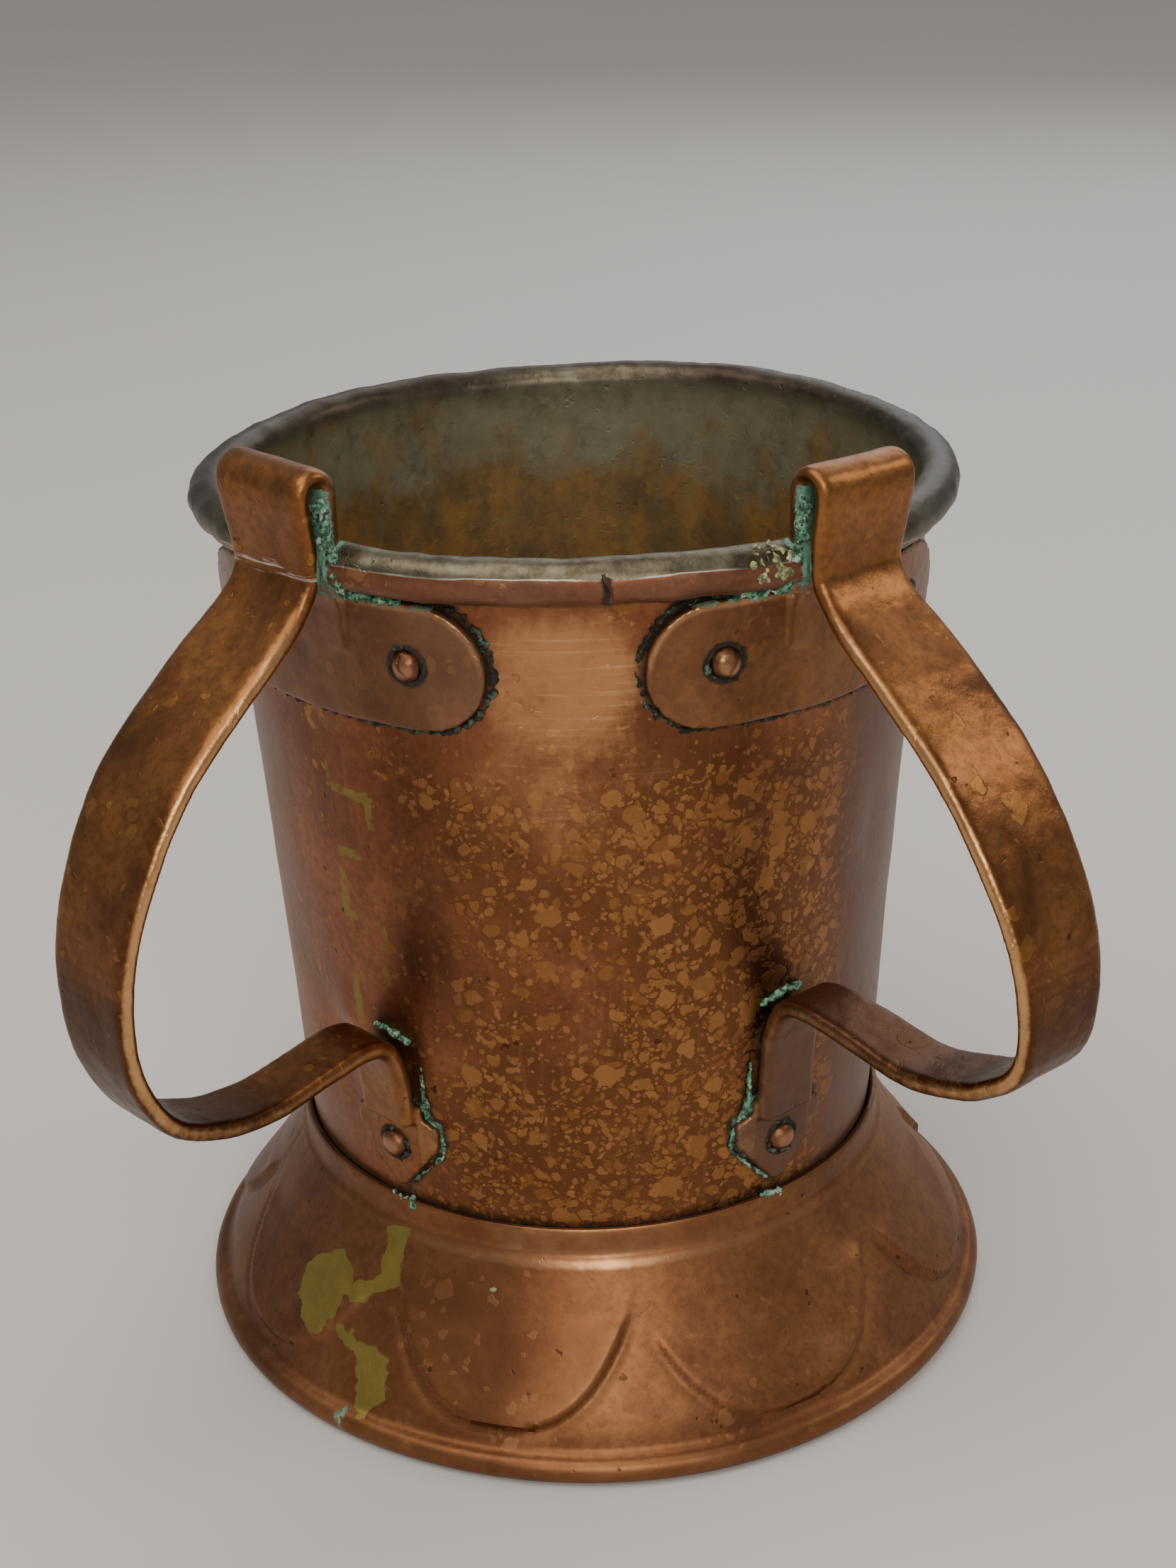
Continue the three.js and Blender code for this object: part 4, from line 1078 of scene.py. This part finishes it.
def insidePolygon(a, h, polygon):  # signed distance, roughly in mm, positive inside
    best, odd = np.full(len(a), 1e9), np.zeros(len(a), bool)
    for (a0, h0), (a1, h1) in zip(polygon, polygon[1:] + polygon[:1]):
        u, v, du, dv = a - a0, h - h0, a1 - a0, h1 - h0
        t = np.clip((u * du + v * dv) / (du * du + dv * dv), 0, 1)
        best = np.minimum(best, np.hypot(u - t * du, v - t * dv))
        odd ^= ((h0 > h) != (h1 > h)) & (a < a0 + (h - h0) / (h1 - h0 + 1e-9) * du)
    return np.where(odd, best, -best)


spelter = np.zeros(len(az))
waver = 0.9 * roughField(co, 2.6, 51) + 0.6 * roughField(co, 1.1, 52)
for polygon in spelterShapes:
    spelter = np.maximum(spelter, step(-0.7, 0.7, insidePolygon(az, z, polygon) + waver))
paint(skirt, "brass", spelter * sideOut)
# painted highlights on the front of the collar, with rubbing on the scallops
wearAndHighlight = 0.55 * spread(az, 0, 30) * (z > waist - 4.4) + 0.2 * raised
wearAndHighlight += (0.45 + 0.4 * spread(az, 0, 26)) * spread(z, waist - 5.7, 0.9)  # a painted highlight along the ring under the collar
# rubbed along the wired edge, and a painted highlight down the front of the flare
wearAndHighlight += 0.35 * (z < 4.2) * (r > vessel["footRadius"] - 1.2) + 0.2 * spread(az, -2, 26) * (z > 8) * (z < 27)
paint(skirt, "wearAndHighlight", wearAndHighlight)
paint(skirt, "spotty", 0.5 * spread(az, -24, 11) * spread(z, 19, 6) + 0.12)
# painted shade: the sides of the foot darker, the left more; then a darker olive stain right of the front
deep = np.where(az < 0, 0.62, 0.42) * step(22, 58, np.abs(az)) * (1 - step(120, 150, np.abs(az)))
paint(skirt, "deep", deep + 0.3 * spread(az, 24, 12))
# grime and painted shade: under the collar, above the wire, along the scallop grooves and over the inside of the skirt
atCollar = 0.9 * np.exp(-np.abs(z - waist) / 0.5) * (r < collar + 0.8)
aboveWire = 0.75 * np.exp(-np.abs(z - 4.7) / 0.5) * (r > vessel["footRadius"] - 2.5)
paint(skirt, "grimeAndShade", np.maximum.reduce([0.42 * groove * onFlare, atCollar, aboveWire, 0.5 * (~sideOut)]))
paint(skirt, "green", 0.5 * spread(az, -35.5, 2.5) * (z < 5.2) * (r > vessel["footRadius"] - 3))
handRaised(skirt)
smooth(skirt, 45)
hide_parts("foot_skirt")
dress(skirt, skirtCopper)

# ---- verdigris packed in the folds and corners ----
print("verdigris")
crusts = dict(foldLumps=32, foldVoxel=0.3, lugVoxel=0.28, plateVoxel=0.28, rimLumps=60, rimVoxel=0.25, speckVoxel=0.15)


# one crust from a list of (azimuth, radius, height, size) lumps in mm, run together
def crustPiece(name, spots, voxel, material=verdigris):
    parts = []
    for azimuth, r, z, size in spots:
        clearSelection()
        bpy.ops.mesh.primitive_ico_sphere_add(subdivisions=2, radius=size * mm, location=onVessel(azimuth, r, z))
        lump = bpy.context.object
        lump.scale = (random.uniform(0.7, 1.3), random.uniform(0.7, 1.3), random.uniform(0.7, 1.4))
        placeInMesh(lump)
        parts.append(lump)
    piece = joined(*parts) if len(parts) > 1 else parts[0]
    piece.name = piece.data.name = name
    applied(piece, "REMESH", mode="VOXEL", voxel_size=voxel * mm)
    co, nrm = points(piece), normalsOf(piece)
    setPoints(piece, co + nrm * ((0.35 * roughField(co, 1.4, 9) + 0.2 * roughField(co, 0.6, 10)) * mm)[:, None])
    handRaised(piece)
    smooth(piece, 60)
    dress(piece, material)
    return piece


# lumps strung along a line of (azimuth, radius, height, size) knots, with a seeded scatter
def strung(knots, gap, scatter):
    spots = []
    for (a0, r0, z0, s0), (a1, r1, z1, s1) in zip(knots, knots[1:]):
        long = math.hypot(math.radians(a1 - a0) * r0, r1 - r0, z1 - z0)
        count = max(1, int(long / gap))
        for i in range(count):
            t = i / count
            spots.append((a0 + (a1 - a0) * t + random.uniform(-scatter, scatter) / r0 * 57,
                          r0 + (r1 - r0) * t + random.uniform(-scatter, scatter) * 0.4,
                          z0 + (z1 - z0) * t + random.uniform(-scatter, scatter),
                          (s0 + (s1 - s0) * t) * random.uniform(0.7, 1.25)))
    return spots


for sideName, ear in ears.items():
    side = ear["side"]
    front = side * (strap["angle"] - 9.3)  # azimuth of the strap's front edge
    slotR = wallTop + 0.4 + strap["thick"] + strap["foldGap"] / 2
    top = vessel["rimTop"]
    spots = []
    for i in range(2 * crusts["foldLumps"]):  # a line along the strap's edge, then as many inside the fold
        t = (i % crusts["foldLumps"]) / (crusts["foldLumps"] - 1)
        across = -0.96 if i < crusts["foldLumps"] else random.uniform(-0.9, 0.9)
        spots.append((side * (strap["angle"] + across * 9.3), slotR - 0.6 * t + random.uniform(-0.2, 0.2),
                      top + 6.0 - t * 10.0, random.uniform(0.6, 0.9) * (1 - 0.3 * t)))
    spots += strung([(front - side * 0.2, wallTop + 4.4, top + 1.5, 0.5),
                     (front - side * 0.8, wallTop + 4.0, top - 3, 0.8),
                     (front - side * 1.2, wallTop + 2.8, top - 6.8, 0.95)], 0.55, 0.35)
    plateTop = plateMiddle + strap["plateTall"] / 2
    spots += strung([(front + side * 0.5, wallTop + 1.9, plateTop + 0.4, 0.9),
                     (front - side * 5, wallTop + 1.7, plateTop + 0.3, 0.6),
                     (front - side * 10, wallTop + 1.5, plateTop - 0.1, 0.45)], 0.6, 0.35)
    crustPiece(sideName + "_fold_verdigris", spots, crusts["foldVoxel"])
    lugAngle = handles[sideName]["lugAngle"]
    bendZ = lugTop + ear["bottom"]
    # offset from the lug's middle, height and size
    downEdge = ((6.4, lugTop + 9.5, 0.26), (6.4, lugTop + 5, 0.42), (6.5, lugTop + 1.2, 0.68),
                (7.9, lugTop - 0.6, 0.55), (9.8, lugTop - 3.5, 0.34), (9.5, lugTop - 6, 0.32),
                (5.0, lugTop - 10, 0.3), (1.2, lugTip + 0.4, 0.4))
    overBend = ((4.5, bendZ + 2.4, 0.45), (1.0, bendZ + 3.6, 0.55), (-4.0, bendZ + 3.4, 0.45))
    spots = []
    for line, gap, scatter in ((downEdge, 0.32, 0.1), (overBend, 0.35, 0.3)):
        knots = [(lugAngle - side * offset, wallAt(z) + 0.3, z, size) for offset, z, size in line]
        spots += strung(knots, gap, scatter)
    spots += strung([(lugAngle - 2.6, wallAt(35) + 1.1, vessel["waist"] + 0.2, 0.45),
                     (lugAngle + 2.2, wallAt(35) + 1.1, vessel["waist"] - 0.8, 0.55)], 0.45, 0.4)
    crustPiece(sideName + "_lug_verdigris", spots, crusts["lugVoxel"])
    # black crust round the plate and the rivet heads
    ring = stadium(strap["plateLong"] + 1.4, strap["plateTall"] + 1.4, plateMiddle)
    knots = [(side * strap["angle"] + math.degrees(u / wallAt(h)), wallAt(h) + 0.1, h, 0.40)
             for u, h in ring + ring[:1]]
    spots = strung(knots, 0.42, 0.38)
    for nodeName, (a, h) in rivets.items():
        if nodeName.startswith(sideName):
            lift = strap["gap"] + (strap["lugThick"] if "lower" in nodeName else strap["plateThick"])
            circle = [(a + math.degrees(u / wallAt(h)), wallAt(h) + lift + 0.05, v, random.uniform(0.25, 0.5))
                      for u, v in arc(0, h, 2.75, 0, 360, 12)]
            spots += strung(circle, 0.5, 0.3)
    crustPiece(sideName + "_plate_crust", spots, crusts["plateVoxel"], blackCrust)
spots = []
for i in range(crusts["rimLumps"]):
    azimuth, tilt = random.gauss(29.5, 1.7), math.radians(random.uniform(-20, 85))
    spots.append((min(azimuth, 32.6), bx + (vessel["bead"] - 0.2) * math.cos(tilt),
                  bz + (vessel["bead"] - 0.2) * math.sin(tilt), random.uniform(0.3, 0.6)))
crustPiece("rim_lime_scale", spots, crusts["rimVoxel"], limeCrust)
speckRadius = float(np.interp(25.2, flareLine[:, 0], flareLine[:, 1]))
crustPiece("foot_paint_speck", [(-15.4, speckRadius + 0.2, 25.2, 0.5)], crusts["speckVoxel"], limeCrust)

for node in ("rim_wire_front", "rim_wire_back", "foot_wire"):
    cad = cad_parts[node]
    for i in range(len(cad.material_slots)):
        cad.material_slots[i].material = wireCopper
